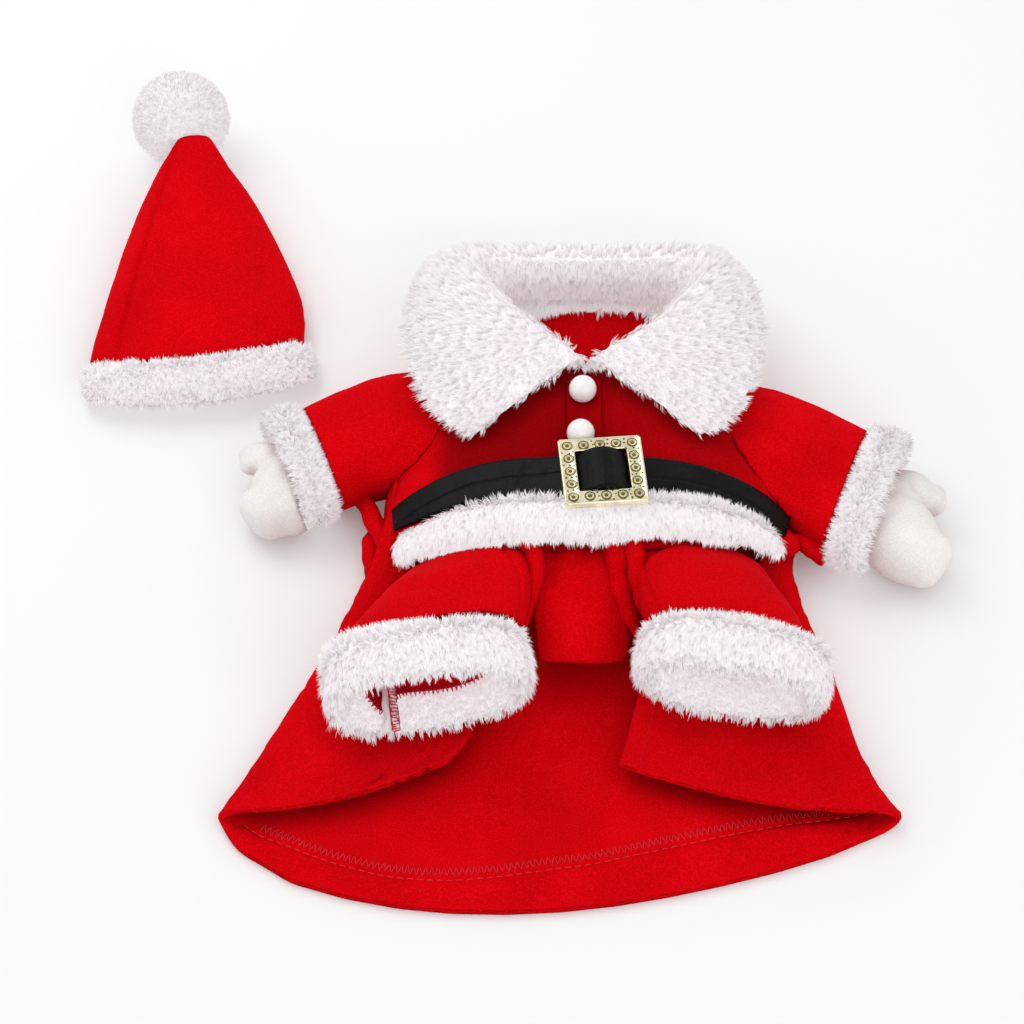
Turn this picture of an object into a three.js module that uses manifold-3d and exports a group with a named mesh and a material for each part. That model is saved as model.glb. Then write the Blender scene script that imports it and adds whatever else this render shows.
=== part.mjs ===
// Dog santa suit: a coat with stuffed sleeves, short legs and a long back skirt, and a hat.
// Both lie on their backs on a table. Millimetres, +Z up, the table is z = 0.
// In the coat's frame +Y runs from the hem to the collar and x = 0 is the coat's middle.

import * as THREE from 'three';
import { mergeVertices } from 'three/addons/utils/BufferGeometryUtils.js';
import Module from 'manifold-3d';

const wasm = await Module();
wasm.setup();

// Where the two garments lie
const coatPlace = { x: 37, y: -20.7 };
const hatPlace = { x: -138, y: 45.8, turnDegrees: 8 };

// Cloth and gaps
const felt = 2;
const leather = 1.6;
const seamGap = 0.3;
const stripGap = 0.5;
const collarDepth = 8.5;

// Oval torso: the chest is the upper half of each row's oval, the back is its flat lower half
const sideSeam = 0.12;
const sideSeamGap = 0.006;
const cutterReach = { around: 0.004, edge: 0.6 };
const torsoRows = [
  { y: -60, left: -89, right: 86, top: 45, side: 10 },
  { y: -44, left: -89, right: 86, top: 46.5, side: 10 },
  { y: -34, left: -89, right: 87, top: 47.5, side: 10 },
  { y: -24, left: -90, right: 90, top: 49, side: 10 },
  { y: -10, left: -91, right: 90, top: 50, side: 10 },
  { y: 1, left: -88, right: 86, top: 50.2, side: 10.5 },
  { y: 12, left: -85, right: 81, top: 49.8, side: 11 },
  { y: 32, left: -83, right: 77, top: 48, side: 12 },
  { y: 50, left: -83, right: 77, top: 45, side: 12 },
  { y: 62, left: -80, right: 74, top: 43, side: 12 },
  { y: 75, left: -69, right: 63, top: 41, side: 12 },
  { y: 85, left: -58, right: 52, top: 38, side: 12 },
  { y: 95, left: -50, right: 44, top: 34, side: 12 },
  { y: 106, left: -43, right: 37, top: 28, side: 12 },
];

// Chest: its lower edge and its neckline, from a side seam (0) to the middle (0.5)
const chestColumns = 22;
const chestRows = 12;
const chestEdges = [
  { around: 0.12, lower: -35.5, upper: 94 },
  { around: 0.2, lower: -42, upper: 89 },
  { around: 0.3, lower: -49, upper: 80 },
  { around: 0.41, lower: -53.5, upper: 64 },
  { around: 0.5, lower: -54, upper: 46 },
];

// Back panel below the waist: the folds at both sides and the free front edges of its flaps
const skirtRows = [
  { down: 0, leftX: -94, leftY: -37, rightX: 86, rightY: -37, leftEdgeX: -66, leftEdgeY: -40,
    rightEdgeX: 60, rightEdgeY: -40, middleY: -40, side: 10, turn: 14, flapTop: 17, edgeTop: 9, flapBow: 0 },
  { down: 0.16, leftX: -103, leftY: -58, rightX: 90, rightY: -59, leftEdgeX: -58, leftEdgeY: -58,
    rightEdgeX: 44, rightEdgeY: -58, middleY: -66, side: 7, turn: 11, flapTop: 12, edgeTop: 8, flapBow: 0 },
  { down: 0.36, leftX: -113, leftY: -81, rightX: 99, rightY: -85, leftEdgeX: -52, leftEdgeY: -80,
    rightEdgeX: 27, rightEdgeY: -80, middleY: -99, side: 5, turn: 9, flapTop: 10, edgeTop: 9, flapBow: 1 },
  { down: 0.57, leftX: -125, leftY: -106, rightX: 105, rightY: -110, leftEdgeX: -50, leftEdgeY: -101,
    rightEdgeX: 19, rightEdgeY: -104, middleY: -133, side: 5, turn: 9, flapTop: 10.5, edgeTop: 11, flapBow: 3 },
  { down: 0.79, leftX: -138, leftY: -133, rightX: 111, rightY: -136, leftEdgeX: -50, leftEdgeY: -122,
    rightEdgeX: 14, rightEdgeY: -125, middleY: -168, side: 5, turn: 9, flapTop: 10.5, edgeTop: 11.5, flapBow: 5 },
  { down: 1, leftX: -153, leftY: -161, rightX: 124, rightY: -161, leftEdgeX: -60, leftEdgeY: -138,
    rightEdgeX: 10, rightEdgeY: -140, middleY: -202, side: 5, turn: 9, flapTop: 11, edgeTop: 13, flapBow: 7 },
];

// How the hem hangs below a straight line between its two corners
const hemSag = [
  { across: 0, depth: 0 },
  { across: 0.04, depth: 15 },
  { across: 0.12, depth: 28 },
  { across: 0.27, depth: 38.5 },
  { across: 0.42, depth: 41 },
  { across: 0.56, depth: 38 },
  { across: 0.7, depth: 30.5 },
  { across: 0.85, depth: 19 },
  { across: 0.94, depth: 9 },
  { across: 1, depth: 0 },
];
const backNeckMiddle = 112;
const backNeckSide = 97;
const neckLift = 6;
const neckSquare = 5;

// Placket, buttons, belt and buckle
const placket = { x: -3, halfWidth: 7.3, bottom: -29, top: 33.5, thick: 1.2 };
const buttons = [
  { name: 'button_upper', x: -3.5, y: 24.5 },
  { name: 'button_lower', x: -4.7, y: -0.6 },
];
const button = { radius: 6.05, centreHeight: 3.6 };
const beltRows = [
  { around: 0.12, middle: -24.2, half: 5.2 },
  { around: 0.2, middle: -23.1, half: 7.3 },
  { around: 0.29, middle: -20, half: 8.6 },
  { around: 0.38, middle: -19.2, half: 9.5 },
  { around: 0.5, middle: -21, half: 9.2 },
  { around: 0.62, middle: -18.8, half: 8.7 },
  { around: 0.71, middle: -19.7, half: 7.2 },
  { around: 0.8, middle: -23.6, half: 5.8 },
  { around: 0.88, middle: -28, half: 4.5 },
];
const buckleLift = 2;
const humpReach = 16;
const buckleReach = 30;
const buckle = {
  x: 4, y: -23.3, side: 35.2, window: 21.8, thick: 3.4, turnDegrees: 4.9, leanDegrees: 6.3, corner: 1.5, clear: 2.2,
};
const buckleRing = { outer: 2.1, inner: 1.1, height: 0.7, perSide: 5 };
const beltLoop = { width: 21.2, length: 21.2, thick: 1.4, base: -0.7, rise: 5 };

// Fur band round the jacket's lower edge
const bandRows = [
  { around: 0.12, middle: -41.3, half: 9.6, depth: 5.2 },
  { around: 0.2, middle: -41.5, half: 9.9, depth: 6.5 },
  { around: 0.3, middle: -40.6, half: 12.2, depth: 7.5 },
  { around: 0.4, middle: -40.6, half: 12, depth: 7.8 },
  { around: 0.5, middle: -42.7, half: 12.8, depth: 8 },
  { around: 0.62, middle: -38.4, half: 11, depth: 7.8 },
  { around: 0.7, middle: -38.1, half: 11.5, depth: 7.5 },
  { around: 0.76, middle: -37.6, half: 8.5, depth: 7 },
  { around: 0.8, middle: -38, half: 8.5, depth: 6.5 },
  { around: 0.88, middle: -41.3, half: 5, depth: 5.2 },
];

// Belly panel between the legs, and the two legs with their cuffs
const bellyRows = [
  { y: -94, x: -4.5, halfWidth: 13, top: 23, bow: 4 },
  { y: -85, x: -4.5, halfWidth: 19, top: 28, bow: 5 },
  { y: -72, x: -4.5, halfWidth: 20.5, top: 34, bow: 5 },
  { y: -58, x: -4, halfWidth: 20, top: 41, bow: 3 },
  { y: -47, x: -4, halfWidth: 20, top: 43.8, bow: 1.2 },
];
const bellyHemBow = 4;
const legRows = {
  left: [
    { along: 0, x: -52, y: -45, z: 25, halfWidth: 29, halfHeight: 12.5, turn: -14, roll: 14 },
    { along: 0.35, x: -58, y: -62, z: 29.5, halfWidth: 34, halfHeight: 15.5, turn: -13, roll: 10 },
    { along: 0.7, x: -63.5, y: -82, z: 34, halfWidth: 38, halfHeight: 18.5, turn: -11, roll: 6 },
    { along: 1, x: -66, y: -96.5, z: 36.5, halfWidth: 37, halfHeight: 19, turn: -9, roll: 4 },
  ],
  right: [
    { along: 0, x: 46, y: -45, z: 25, halfWidth: 28, halfHeight: 12.5, turn: 9, roll: -14 },
    { along: 0.35, x: 48, y: -62, z: 30, halfWidth: 31.5, halfHeight: 15.5, turn: 8, roll: -10 },
    { along: 0.7, x: 52, y: -81, z: 35, halfWidth: 34, halfHeight: 18, turn: 8, roll: -7 },
    { along: 1, x: 54.5, y: -94.5, z: 37, halfWidth: 34, halfHeight: 18, turn: 8, roll: -5 },
  ],
};
const legCuffs = {
  left: { x: -68.5, y: -112.5, z: 36.5, halfWidth: 37, halfHeight: 17, turn: -9, roll: 3, length: 29,
    thickOut: 7.5, thickIn: 7 },
  right: { x: 56, y: -109.5, z: 37, halfWidth: 34, halfHeight: 16.5, turn: 8, roll: -4, length: 28,
    thickOut: 7.5, thickIn: 7 },
};

// Stuffed sleeves with fur cuffs and stuffed mittens
const sleeveRows = {
  left: [
    { along: 0, x: -60, y: 28, z: 19, halfWidth: 32, halfHeight: 17, turn: 88 },
    { along: 0.35, x: -84, y: 28.5, z: 19, halfWidth: 30.5, halfHeight: 19, turn: 84 },
    { along: 0.7, x: -104, y: 22.5, z: 18, halfWidth: 27.5, halfHeight: 18.5, turn: 75 },
    { along: 1, x: -118, y: 15, z: 17.5, halfWidth: 26.5, halfHeight: 17.5, turn: 69 },
  ],
  right: [
    { along: 0, x: 54, y: 18, z: 19, halfWidth: 36, halfHeight: 17, turn: -88 },
    { along: 0.35, x: 76, y: 16, z: 19, halfWidth: 35, halfHeight: 19, turn: -82 },
    { along: 0.7, x: 96, y: 6, z: 19, halfWidth: 33, halfHeight: 19, turn: -73 },
    { along: 1, x: 111, y: -4.5, z: 18.5, halfWidth: 33, halfHeight: 18.5, turn: -69 },
  ],
};
const sleeveCuffs = {
  left: { z: 18, halfWidth: 27.5, halfHeight: 13, turn: 69, length: 18, thickOut: 5, thickIn: 4 },
  right: { z: 19, halfWidth: 34, halfHeight: 14.5, turn: -69, length: 19, thickOut: 5, thickIn: 4 },
};
const mittenRows = {
  left: [
    { along: 0, x: -123, y: 8, z: 17, halfWidth: 21, halfHeight: 9 },
    { along: 0.45, x: -130, y: 0, z: 16, halfWidth: 19, halfHeight: 12 },
    { along: 0.8, x: -136, y: -6, z: 14, halfWidth: 18, halfHeight: 13 },
    { along: 1, x: -140, y: -10, z: 13, halfWidth: 14, halfHeight: 11 },
  ],
  right: [
    { along: 0, x: 117, y: -9, z: 17, halfWidth: 24, halfHeight: 10 },
    { along: 0.4, x: 129, y: -20, z: 16, halfWidth: 21, halfHeight: 13 },
    { along: 0.8, x: 138, y: -30, z: 14, halfWidth: 18, halfHeight: 13 },
    { along: 1, x: 143, y: -36, z: 13, halfWidth: 14, halfHeight: 11 },
  ],
};
const mittenTurn = { left: 52, right: -56 };
const thumbRows = {
  left: [
    { along: 0, x: -133, y: 12, z: 16, halfWidth: 10, halfHeight: 9 },
    { along: 0.6, x: -142, y: 15, z: 16, halfWidth: 9, halfHeight: 9 },
    { along: 1, x: -148, y: 17, z: 15, halfWidth: 6.5, halfHeight: 6.5 },
  ],
  right: [
    { along: 0, x: 133, y: -2, z: 16, halfWidth: 11, halfHeight: 9 },
    { along: 0.6, x: 143, y: -3, z: 16, halfWidth: 10, halfHeight: 9 },
    { along: 1, x: 149, y: -5, z: 15, halfWidth: 7, halfHeight: 6.5 },
  ],
};
const thumbTurn = { left: 80, right: -90 };

// Collar, from its front end (0) round to the middle of the back (1): neck seam, fold, fall and edge
const collarRows = [
  { round: 0, lean: 0, neckX: 1, neckY: 40, neckZ: 47.5, foldX: 0, foldY: 42, foldZ: 53, fallX: -26, fallY: 20,
    fallZ: 53, edgeX: -48, edgeY: 2.5, edgeZ: 48.6 },
  { round: 0.13, lean: 3, neckX: -17, neckY: 53, neckZ: 44, foldX: -21, foldY: 58, foldZ: 53, fallX: -43,
    fallY: 31, fallZ: 53, edgeX: -61, edgeY: 11, edgeZ: 45.5 },
  { round: 0.28, lean: 3.5, neckX: -31, neckY: 69, neckZ: 40, foldX: -38, foldY: 75, foldZ: 52.5, fallX: -59,
    fallY: 54, fallZ: 51, edgeX: -75, edgeY: 38, edgeZ: 43 },
  { round: 0.44, lean: 3, neckX: -42, neckY: 86, neckZ: 33, foldX: -49, foldY: 92, foldZ: 50, fallX: -67,
    fallY: 81, fallZ: 47, edgeX: -79, edgeY: 69, edgeZ: 38 },
  { round: 0.6, lean: 2, neckX: -44, neckY: 99, neckZ: 21, foldX: -51, foldY: 106, foldZ: 45, fallX: -65,
    fallY: 108, fallZ: 41, edgeX: -77, edgeY: 101, edgeZ: 30 },
  { round: 0.74, lean: 1, neckX: -37, neckY: 109, neckZ: 10, foldX: -43, foldY: 114, foldZ: 39, fallX: -55,
    fallY: 123, fallZ: 35, edgeX: -65.5, edgeY: 128, edgeZ: 17 },
  { round: 0.87, lean: 0, neckX: -18, neckY: 113, neckZ: 7, foldX: -23, foldY: 117, foldZ: 35, fallX: -30,
    fallY: 127, fallZ: 31, edgeX: -34, edgeY: 132, edgeZ: 10 },
  { round: 1, lean: 0, neckX: 0, neckY: 114, neckZ: 7, foldX: 0, foldY: 117.5, foldZ: 34, fallX: 0, fallY: 127,
    fallZ: 30, edgeX: 0, edgeY: 132, edgeZ: 9 },
];
const collarShift = -2;
const collarSteps = 15;

// Hat in its own frame: the middle of its brim is the origin, its left seam side has x below 0
const hatRows = [
  { along: 14.6, left: -49, right: 49, top: 16, side: 7.5, base: 0 },
  { along: 24, left: -47, right: 50.5, top: 18.5, side: 8.5, base: 0 },
  { along: 40, left: -42.5, right: 50.8, top: 21.5, side: 9, base: 0 },
  { along: 60, left: -37, right: 47.3, top: 23.5, side: 9.5, base: 0 },
  { along: 85, left: -29, right: 41, top: 25, side: 10, base: 0 },
  { along: 105, left: -20.5, right: 34, top: 27, side: 13, base: 1 },
  { along: 119, left: -12.5, right: 26, top: 29.5, side: 18, base: 7 },
  { along: 128, left: -5.5, right: 20.5, top: 32, side: 24, base: 16 },
  { along: 133.5, left: 0, right: 17.5, top: 33.5, side: 28, base: 21 },
];
const brim = { y: 5.5, halfWidth: 51.5, halfHeight: 2.8, z: 5.8, length: 17, thick: 4, topThick: 11.5, sideThick: 4,
  topForward: 2, droop: 3, recess: 4, bow: 8, bowReach: 60 };
const pompom = { along: 155.5, x: 3.9, radius: 23.3, sink: 0.8 };

const colours = {
  red: 0xc8000f,
  fur: 0xf7f4f5,
  mitten: 0xf1eae6,
  leather: 0x15141a,
  gold: 0xd8b45a,
  button: 0xf4efee,
};

// Numbers and tables

function mix(a, b, t) {
  return a + (b - a) * t;
}

function radians(degrees) {
  return degrees * Math.PI / 180;
}

// Every column of a table, read at a value of its first column along a smooth curve
function readTable(table, value) {
  const [key, ...columns] = Object.keys(table[0]);
  const last = table.length - 1;
  const at = Math.min(Math.max(value, table[0][key]), table[last][key]);
  let i = 0;
  while (i < last - 1 && at > table[i + 1][key]) i += 1;
  const span = table[i + 1][key] - table[i][key];
  const t = (at - table[i][key]) / span;
  const slope = (j, column) => {
    const before = table[Math.max(j - 1, 0)];
    const after = table[Math.min(j + 1, last)];
    return (after[column] - before[column]) / (after[key] - before[key]);
  };
  const row = { [key]: at };
  for (const column of columns) {
    const start = table[i][column];
    const end = table[i + 1][column];
    const rise = (1 - t) * t * t * -slope(i + 1, column) + (1 - t) * (1 - t) * t * slope(i, column);
    row[column] = mix(start, end, t * t * (3 - 2 * t)) + rise * span;
  }
  return row;
}

function steps(count) {
  return Array.from({ length: count + 1 }, (_, i) => i / count);
}

// Closed bodies from grids of points

function bodyFromFaces(points, faces) {
  let volume = 0;
  for (const [a, b, c] of faces) {
    volume += points[a].dot(new THREE.Vector3().crossVectors(points[b], points[c]));
  }
  const ordered = volume < 0 ? faces.map(([a, b, c]) => [a, c, b]) : faces;
  const geometry = new THREE.BufferGeometry();
  geometry.setAttribute('position', new THREE.Float32BufferAttribute(points.flatMap((p) => p.toArray()), 3));
  geometry.setIndex(ordered.flat());
  geometry.computeVertexNormals();
  return geometry;
}

function addQuad(faces, a, b, c, d) {
  faces.push([a, b, c], [a, c, d]);
}

// A wall between two grids of the same size. The cells that keep() refuses are left out.
function wallBody(outer, inner, wrap = false, keep = () => true) {
  const rows = outer.length;
  const columns = outer[0].length;
  const points = [...outer.flat(), ...inner.flat()];
  const offset = rows * columns;
  const index = (r, c) => r * columns + c % columns;
  const faces = [];
  const open = new Map();
  const toggle = (a, b) => {
    const twin = `${b},${a}`;
    if (open.has(twin)) open.delete(twin);
    else open.set(`${a},${b}`, [a, b]);
  };
  for (let r = 0; r < rows - 1; r++) {
    for (let c = 0; c < (wrap ? columns : columns - 1); c++) {
      if (!keep(r, c)) continue;
      const corners = [index(r, c), index(r, c + 1), index(r + 1, c + 1), index(r + 1, c)];
      addQuad(faces, ...corners);
      addQuad(faces, ...corners.map((k) => k + offset).reverse());
      corners.forEach((k, n) => toggle(k, corners[(n + 1) % 4]));
    }
  }
  for (const [a, b] of open.values()) addQuad(faces, b, a, a + offset, b + offset);
  return tidyBody(points, faces);
}

// A body lofted through closed rings, with a ladder of faces over each end, or closed on itself
function loftBody(rings, loop = false) {
  const size = rings[0].length;
  const faces = [];
  const index = (r, c) => (r % rings.length) * size + c % size;
  for (let r = 0; r < (loop ? rings.length : rings.length - 1); r++) {
    for (let c = 0; c < size; c++) {
      addQuad(faces, index(r, c), index(r, c + 1), index(r + 1, c + 1), index(r + 1, c));
    }
  }
  if (!loop) {
    for (const [r, turned] of [[0, true], [rings.length - 1, false]]) {
      for (let c = 0; c < size / 2 - 1; c++) {
        const rung = [index(r, c), index(r, c + 1), index(r, size - 2 - c), index(r, size - 1 - c)];
        if (turned) rung.reverse();
        addQuad(faces, ...rung);
      }
    }
  }
  return tidyBody(rings.flat(), faces);
}

// Leave out points that no face uses and faces that have shrunk to a line
function tidyBody(points, faces) {
  const used = new Map();
  const kept = [];
  const rename = (k) => {
    if (!used.has(k)) {
      used.set(k, kept.length);
      kept.push(points[k]);
    }
    return used.get(k);
  };
  const named = faces.filter(([a, b, c]) => a !== b && b !== c && c !== a).map((face) => face.map(rename));
  return bodyFromFaces(kept, named);
}

// The normal of a grid at each point, from its neighbours
function gridNormals(grid, wrap = false) {
  const rows = grid.length;
  const columns = grid[0].length;
  const pick = (r, c) => {
    const column = wrap ? (c + columns) % columns : Math.min(Math.max(c, 0), columns - 1);
    return grid[Math.min(Math.max(r, 0), rows - 1)][column];
  };
  return grid.map((row, r) => row.map((_, c) => {
    const along = new THREE.Vector3().subVectors(pick(r + 1, c), pick(r - 1, c));
    const across = new THREE.Vector3().subVectors(pick(r, c + 1), pick(r, c - 1));
    return across.cross(along).normalize();
  }));
}

function moveGrid(grid, normals, distance) {
  return grid.map((row, r) => row.map((point, c) => point.clone().addScaledVector(normals[r][c], distance)));
}

// Cutting one body by others, each made a little larger where the cut is to leave a gap

function toManifold(geometry) {
  const plain = geometry.clone();
  plain.deleteAttribute('normal');
  plain.deleteAttribute('uv');
  const merged = mergeVertices(plain, 1e-4);
  return new wasm.Manifold(new wasm.Mesh({
    numProp: 3,
    vertProperties: new Float32Array(merged.getAttribute('position').array),
    triVerts: new Uint32Array(merged.getIndex().array),
  }));
}

function cutBody(geometry, cutters) {
  let body = toManifold(geometry);
  for (const cutter of cutters) body = body.subtract(toManifold(cutter));
  const largest = body.decompose().sort((a, b) => b.volume() - a.volume())[0];
  return fromManifold(largest);
}

function fromManifold(body) {
  const mesh = body.getMesh();
  const geometry = new THREE.BufferGeometry();
  geometry.setAttribute('position', new THREE.BufferAttribute(new Float32Array(mesh.vertProperties), 3));
  geometry.setIndex(new THREE.BufferAttribute(new Uint32Array(mesh.triVerts), 1));
  geometry.computeVertexNormals();
  return geometry;
}

// Torso surface: around goes from the left side (0) over the chest to the right side (1)

function torsoPoint(y, around) {
  const row = readTable(torsoRows, y);
  const angle = Math.PI * around;
  const x = mix(row.left, row.right, (1 - Math.cos(angle)) / 2);
  return new THREE.Vector3(x, y, row.side + (row.top - row.side) * Math.sin(angle));
}

function torsoNormal(y, around) {
  const small = 0.5;
  const turn = 0.01;
  const along = new THREE.Vector3().subVectors(torsoPoint(y + small, around), torsoPoint(y - small, around));
  const across = new THREE.Vector3().subVectors(torsoPoint(y, around + turn), torsoPoint(y, around - turn));
  return across.cross(along).normalize();
}

function onTorso(y, around, out) {
  return torsoPoint(y, around).addScaledVector(torsoNormal(y, around), out);
}

// Columns of the chest between its side seams, as places round the torso
function chestAround(reach = 0) {
  return steps(chestColumns).map((c) => mix(sideSeam - reach, 1 - sideSeam + reach, c));
}

function chestGrid(out, reach = 0, past = 0) {
  return steps(chestRows).map((t) => chestAround(reach).map((around) => {
    const edge = readTable(chestEdges, Math.min(around, 1 - around));
    return onTorso(mix(edge.lower - past, edge.upper + past, t), around, out);
  }));
}

function chestBody() {
  return wallBody(chestGrid(0), chestGrid(-felt));
}

// The chest a seam's gap larger all round, to cut what meets it
function wideChestBody() {
  const { around, edge } = cutterReach;
  return wallBody(chestGrid(seamGap, around, edge), chestGrid(-felt - seamGap, around, edge));
}

// How far a strip stands off the chest: just clear of it, and higher where it crosses the placket
function liftOver(x, extra = 0) {
  const hump = Math.max(0, 1 - ((x - placket.x) / humpReach) ** 2) ** 2;
  const buckleHump = Math.max(0, 1 - ((x - buckle.x) / buckleReach) ** 2) ** 2;
  return stripGap + hump * (placket.thick + seamGap) + buckleHump * extra;
}

// Back panel: torso rows down to the waist, then the skirt rows with a flap folded over each side

const panelParts = { flap: 7, turn: 3, flat: 12 };
const waistRows = 8;
const hemRows = 9;

function panelRow(t, past = 0) {
  if (t >= 0) return readTable(skirtRows, t);
  const y = mix(backNeckSide + past, skirtRows[0].leftY, t + 1);
  const torso = readTable(torsoRows, y);
  const bow = mix(backNeckMiddle - backNeckSide, skirtRows[0].middleY - skirtRows[0].leftY, t + 1);
  return { down: 0, torso: y, leftX: torso.left, leftY: y, rightX: torso.right, rightY: y, middleY: y + bow,
    side: torso.side, turn: 16, neckLift: neckLift * Math.max(0, -3 * t - 2) ** 2,
    square: mix(2, neckSquare, -t) };
}

// The turned part of a section rises as a quarter ellipse
function quarter(t) {
  return Math.sqrt(Math.max(0, 1 - (1 - Math.min(t, 1)) ** 2));
}

function flapPoint(row, hand, t) {
  const sideX = row[`${hand}X`];
  const sideY = row[`${hand}Y`];
  const edgeX = row[`${hand}EdgeX`];
  const edgeY = row[`${hand}EdgeY`];
  const length = Math.hypot(edgeX - sideX, edgeY - sideY);
  const level = mix(row.flapTop, row.edgeTop, t) - row.side;
  const rise = quarter(t * length / row.turn);
  const y = mix(sideY, edgeY, t) - row.flapBow * 4 * t * (1 - t);
  return new THREE.Vector3(mix(sideX, edgeX, t), y, row.side + level * rise);
}

function backPoint(row, across) {
  const width = row.rightX - row.leftX;
  const x = mix(row.leftX, row.rightX, across);
  const chord = mix(row.leftY, row.rightY, across);
  const deepest = readTable(hemSag, 0.5).depth;
  const sag = readTable(hemSag, across).depth / deepest;
  const middleChord = (row.leftY + row.rightY) / 2;
  const inset = Math.min(across, 1 - across) * width;
  const rise = 1 - quarter(inset / row.turn);
  const round = 1 - Math.abs(2 * across - 1) ** (row.square ?? 2);
  const bow = (row.middleY - middleChord) * mix(round, sag, row.down);
  return new THREE.Vector3(x, chord + bow, row.side * rise + (row.neckLift ?? 0) * (1 - rise));
}

// The strip of the back panel that comes up round the torso's side to the side seam
function sidePoint(row, hand, t, reach) {
  const around = t * (sideSeam - sideSeamGap + reach);
  return torsoPoint(row.torso, hand === 'left' ? around : 1 - around);
}

function panelLine(row, reach = 0) {
  const above = row.torso !== undefined;
  const turns = steps(panelParts.turn).map((s) => 1 - Math.cos(s * Math.PI / 2));
  const flatStep = row.turn / (row.rightX - row.leftX);
  const side = (hand) => {
    if (above) return [...steps(panelParts.turn).map((s) => sidePoint(row, hand, s, reach)),
      ...steps(panelParts.flap).slice(1).map((s) => sidePoint(row, hand, 1 + s, reach))];
    const width = Math.hypot(row[`${hand}EdgeX`] - row[`${hand}X`], row[`${hand}EdgeY`] - row[`${hand}Y`]);
    const turnStep = row.turn / width;
    return [...turns.map((s) => flapPoint(row, hand, s * turnStep)),
      ...steps(panelParts.flap).slice(1).map((s) => flapPoint(row, hand, mix(turnStep, 1, s)))];
  };
  return [
    ...side('left').reverse(),
    ...turns.slice(1).map((s) => backPoint(row, s * flatStep)),
    ...steps(panelParts.flat).slice(1, -1).map((s) => backPoint(row, mix(flatStep, 1 - flatStep, s))),
    ...turns.slice(1).reverse().map((s) => backPoint(row, 1 - s * flatStep)),
    ...side('right'),
  ];
}

// With a gap above 0 the panel is thicker and wider by it, to cut what meets it
function backPanelBody(gap = 0) {
  const { around, edge } = gap > 0 ? cutterReach : { around: 0, edge: 0 };
  const rows = [...steps(waistRows).map((s) => s - 1), ...steps(hemRows).slice(1)];
  const grid = rows.map((t) => panelLine(panelRow(t, edge), around));
  const normals = gridNormals(grid);
  const cells = grid[0].length - 1;
  const keep = (r, c) => r >= waistRows || (c >= panelParts.flap && c < cells - panelParts.flap);
  return wallBody(moveGrid(grid, normals, gap), moveGrid(grid, normals, -felt - gap), false, keep);
}

// The torso as if filled, a seam's gap larger, to shape the sleeves' ends
function torsoCore() {
  const rings = steps(waistRows).map((s) => {
    const row = panelRow(s === 1 ? -0.001 : s - 1);
    const top = steps(chestColumns).map((c) => onTorso(row.torso, c, seamGap));
    const bottom = steps(chestColumns).map((c) => backPoint(row, (1 - Math.cos(Math.PI * (1 - c))) / 2));
    for (const point of bottom) point.z -= seamGap;
    return [...top, ...bottom.slice(1, -1)];
  });
  return loftBody(rings);
}

// Rounded rings for legs, sleeves, cuffs and mittens

// A ring of points round a centre. turn is the heading in degrees, where 0 looks along -Y.
function ringPoints(row, count, grow = 0, turn = row.turn, power = 2.3, floor = 0) {
  const heading = radians(turn);
  const across = new THREE.Vector3(Math.cos(heading), -Math.sin(heading), 0);
  const roll = radians(row.roll ?? 0);
  return Array.from({ length: count }, (_, i) => {
    const angle = 2 * Math.PI * i / count;
    const shape = (value) => Math.sign(value) * Math.abs(value) ** (2 / power);
    const side = (row.halfWidth + grow) * shape(Math.cos(angle));
    const up = (row.halfHeight + grow) * shape(Math.sin(angle));
    const point = new THREE.Vector3(row.x, row.y, row.z)
      .addScaledVector(across, side * Math.cos(roll) - up * Math.sin(roll));
    point.z = Math.max(floor, point.z + side * Math.sin(roll) + up * Math.cos(roll));
    return point;
  });
}

function tubeBody(table, rows, count) {
  const outer = steps(rows).map((t) => ringPoints(readTable(table, t), count));
  const inner = steps(rows).map((t) => ringPoints(readTable(table, t), count, -felt));
  return wallBody(outer, inner, true);
}

// A stuffed form: rings along the table, closed by round ends
function stuffedBody(table, rows, count, turn, startRound = 0, endRound = 1, grow = 0) {
  const rings = [];
  for (const t of steps(rows)) {
    const row = readTable(table, t);
    rings.push(ringPoints(row, count, grow, turn ?? row.turn));
  }
  const ends = [];
  const last = readTable(table, 1);
  const heading = radians(turn ?? last.turn);
  for (const bulge of endRound ? [0.5, 0.85] : []) {
    const shrink = Math.sqrt(1 - bulge * bulge);
    const length = endRound * last.halfHeight * bulge;
    ends.push(ringPoints({ ...last, x: last.x + Math.sin(heading) * -length, y: last.y - Math.cos(heading) * length,
      halfWidth: last.halfWidth * mix(1, shrink, 0.8), halfHeight: last.halfHeight * shrink }, count, grow,
    turn ?? last.turn));
  }
  return loftBody([...rings, ...ends]);
}

// A fur cuff: a thick ring with a rounded section
function cuffBody(cuff, count, sectionSize = 8) {
  const heading = radians(cuff.turn);
  const along = new THREE.Vector3(-Math.sin(heading), -Math.cos(heading), 0);
  const rounded = (value) => Math.sign(value) * Math.abs(value) ** 0.75;
  const rings = Array.from({ length: sectionSize }, (_, i) => {
    const angle = 2 * Math.PI * i / sectionSize;
    const thick = Math.sin(angle) > 0 ? cuff.thickOut : cuff.thickIn;
    const move = rounded(Math.cos(angle)) * cuff.length / 2;
    return ringPoints(cuff, count, thick * rounded(Math.sin(angle))).map((point) => point.addScaledVector(along, move));
  });
  return loftBody(rings, true);
}

// Where a cuff's middle lies when its back touches the end of a sleeve
function cuffAfter(row, cuff) {
  const heading = radians(cuff.turn);
  const reach = cuff.length / 2 + seamGap;
  return { ...cuff, x: row.x - Math.sin(heading) * reach, y: row.y - Math.cos(heading) * reach };
}

// Collar: each section runs from the neck seam over the fold to the outer edge, with a rounded rim

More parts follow.
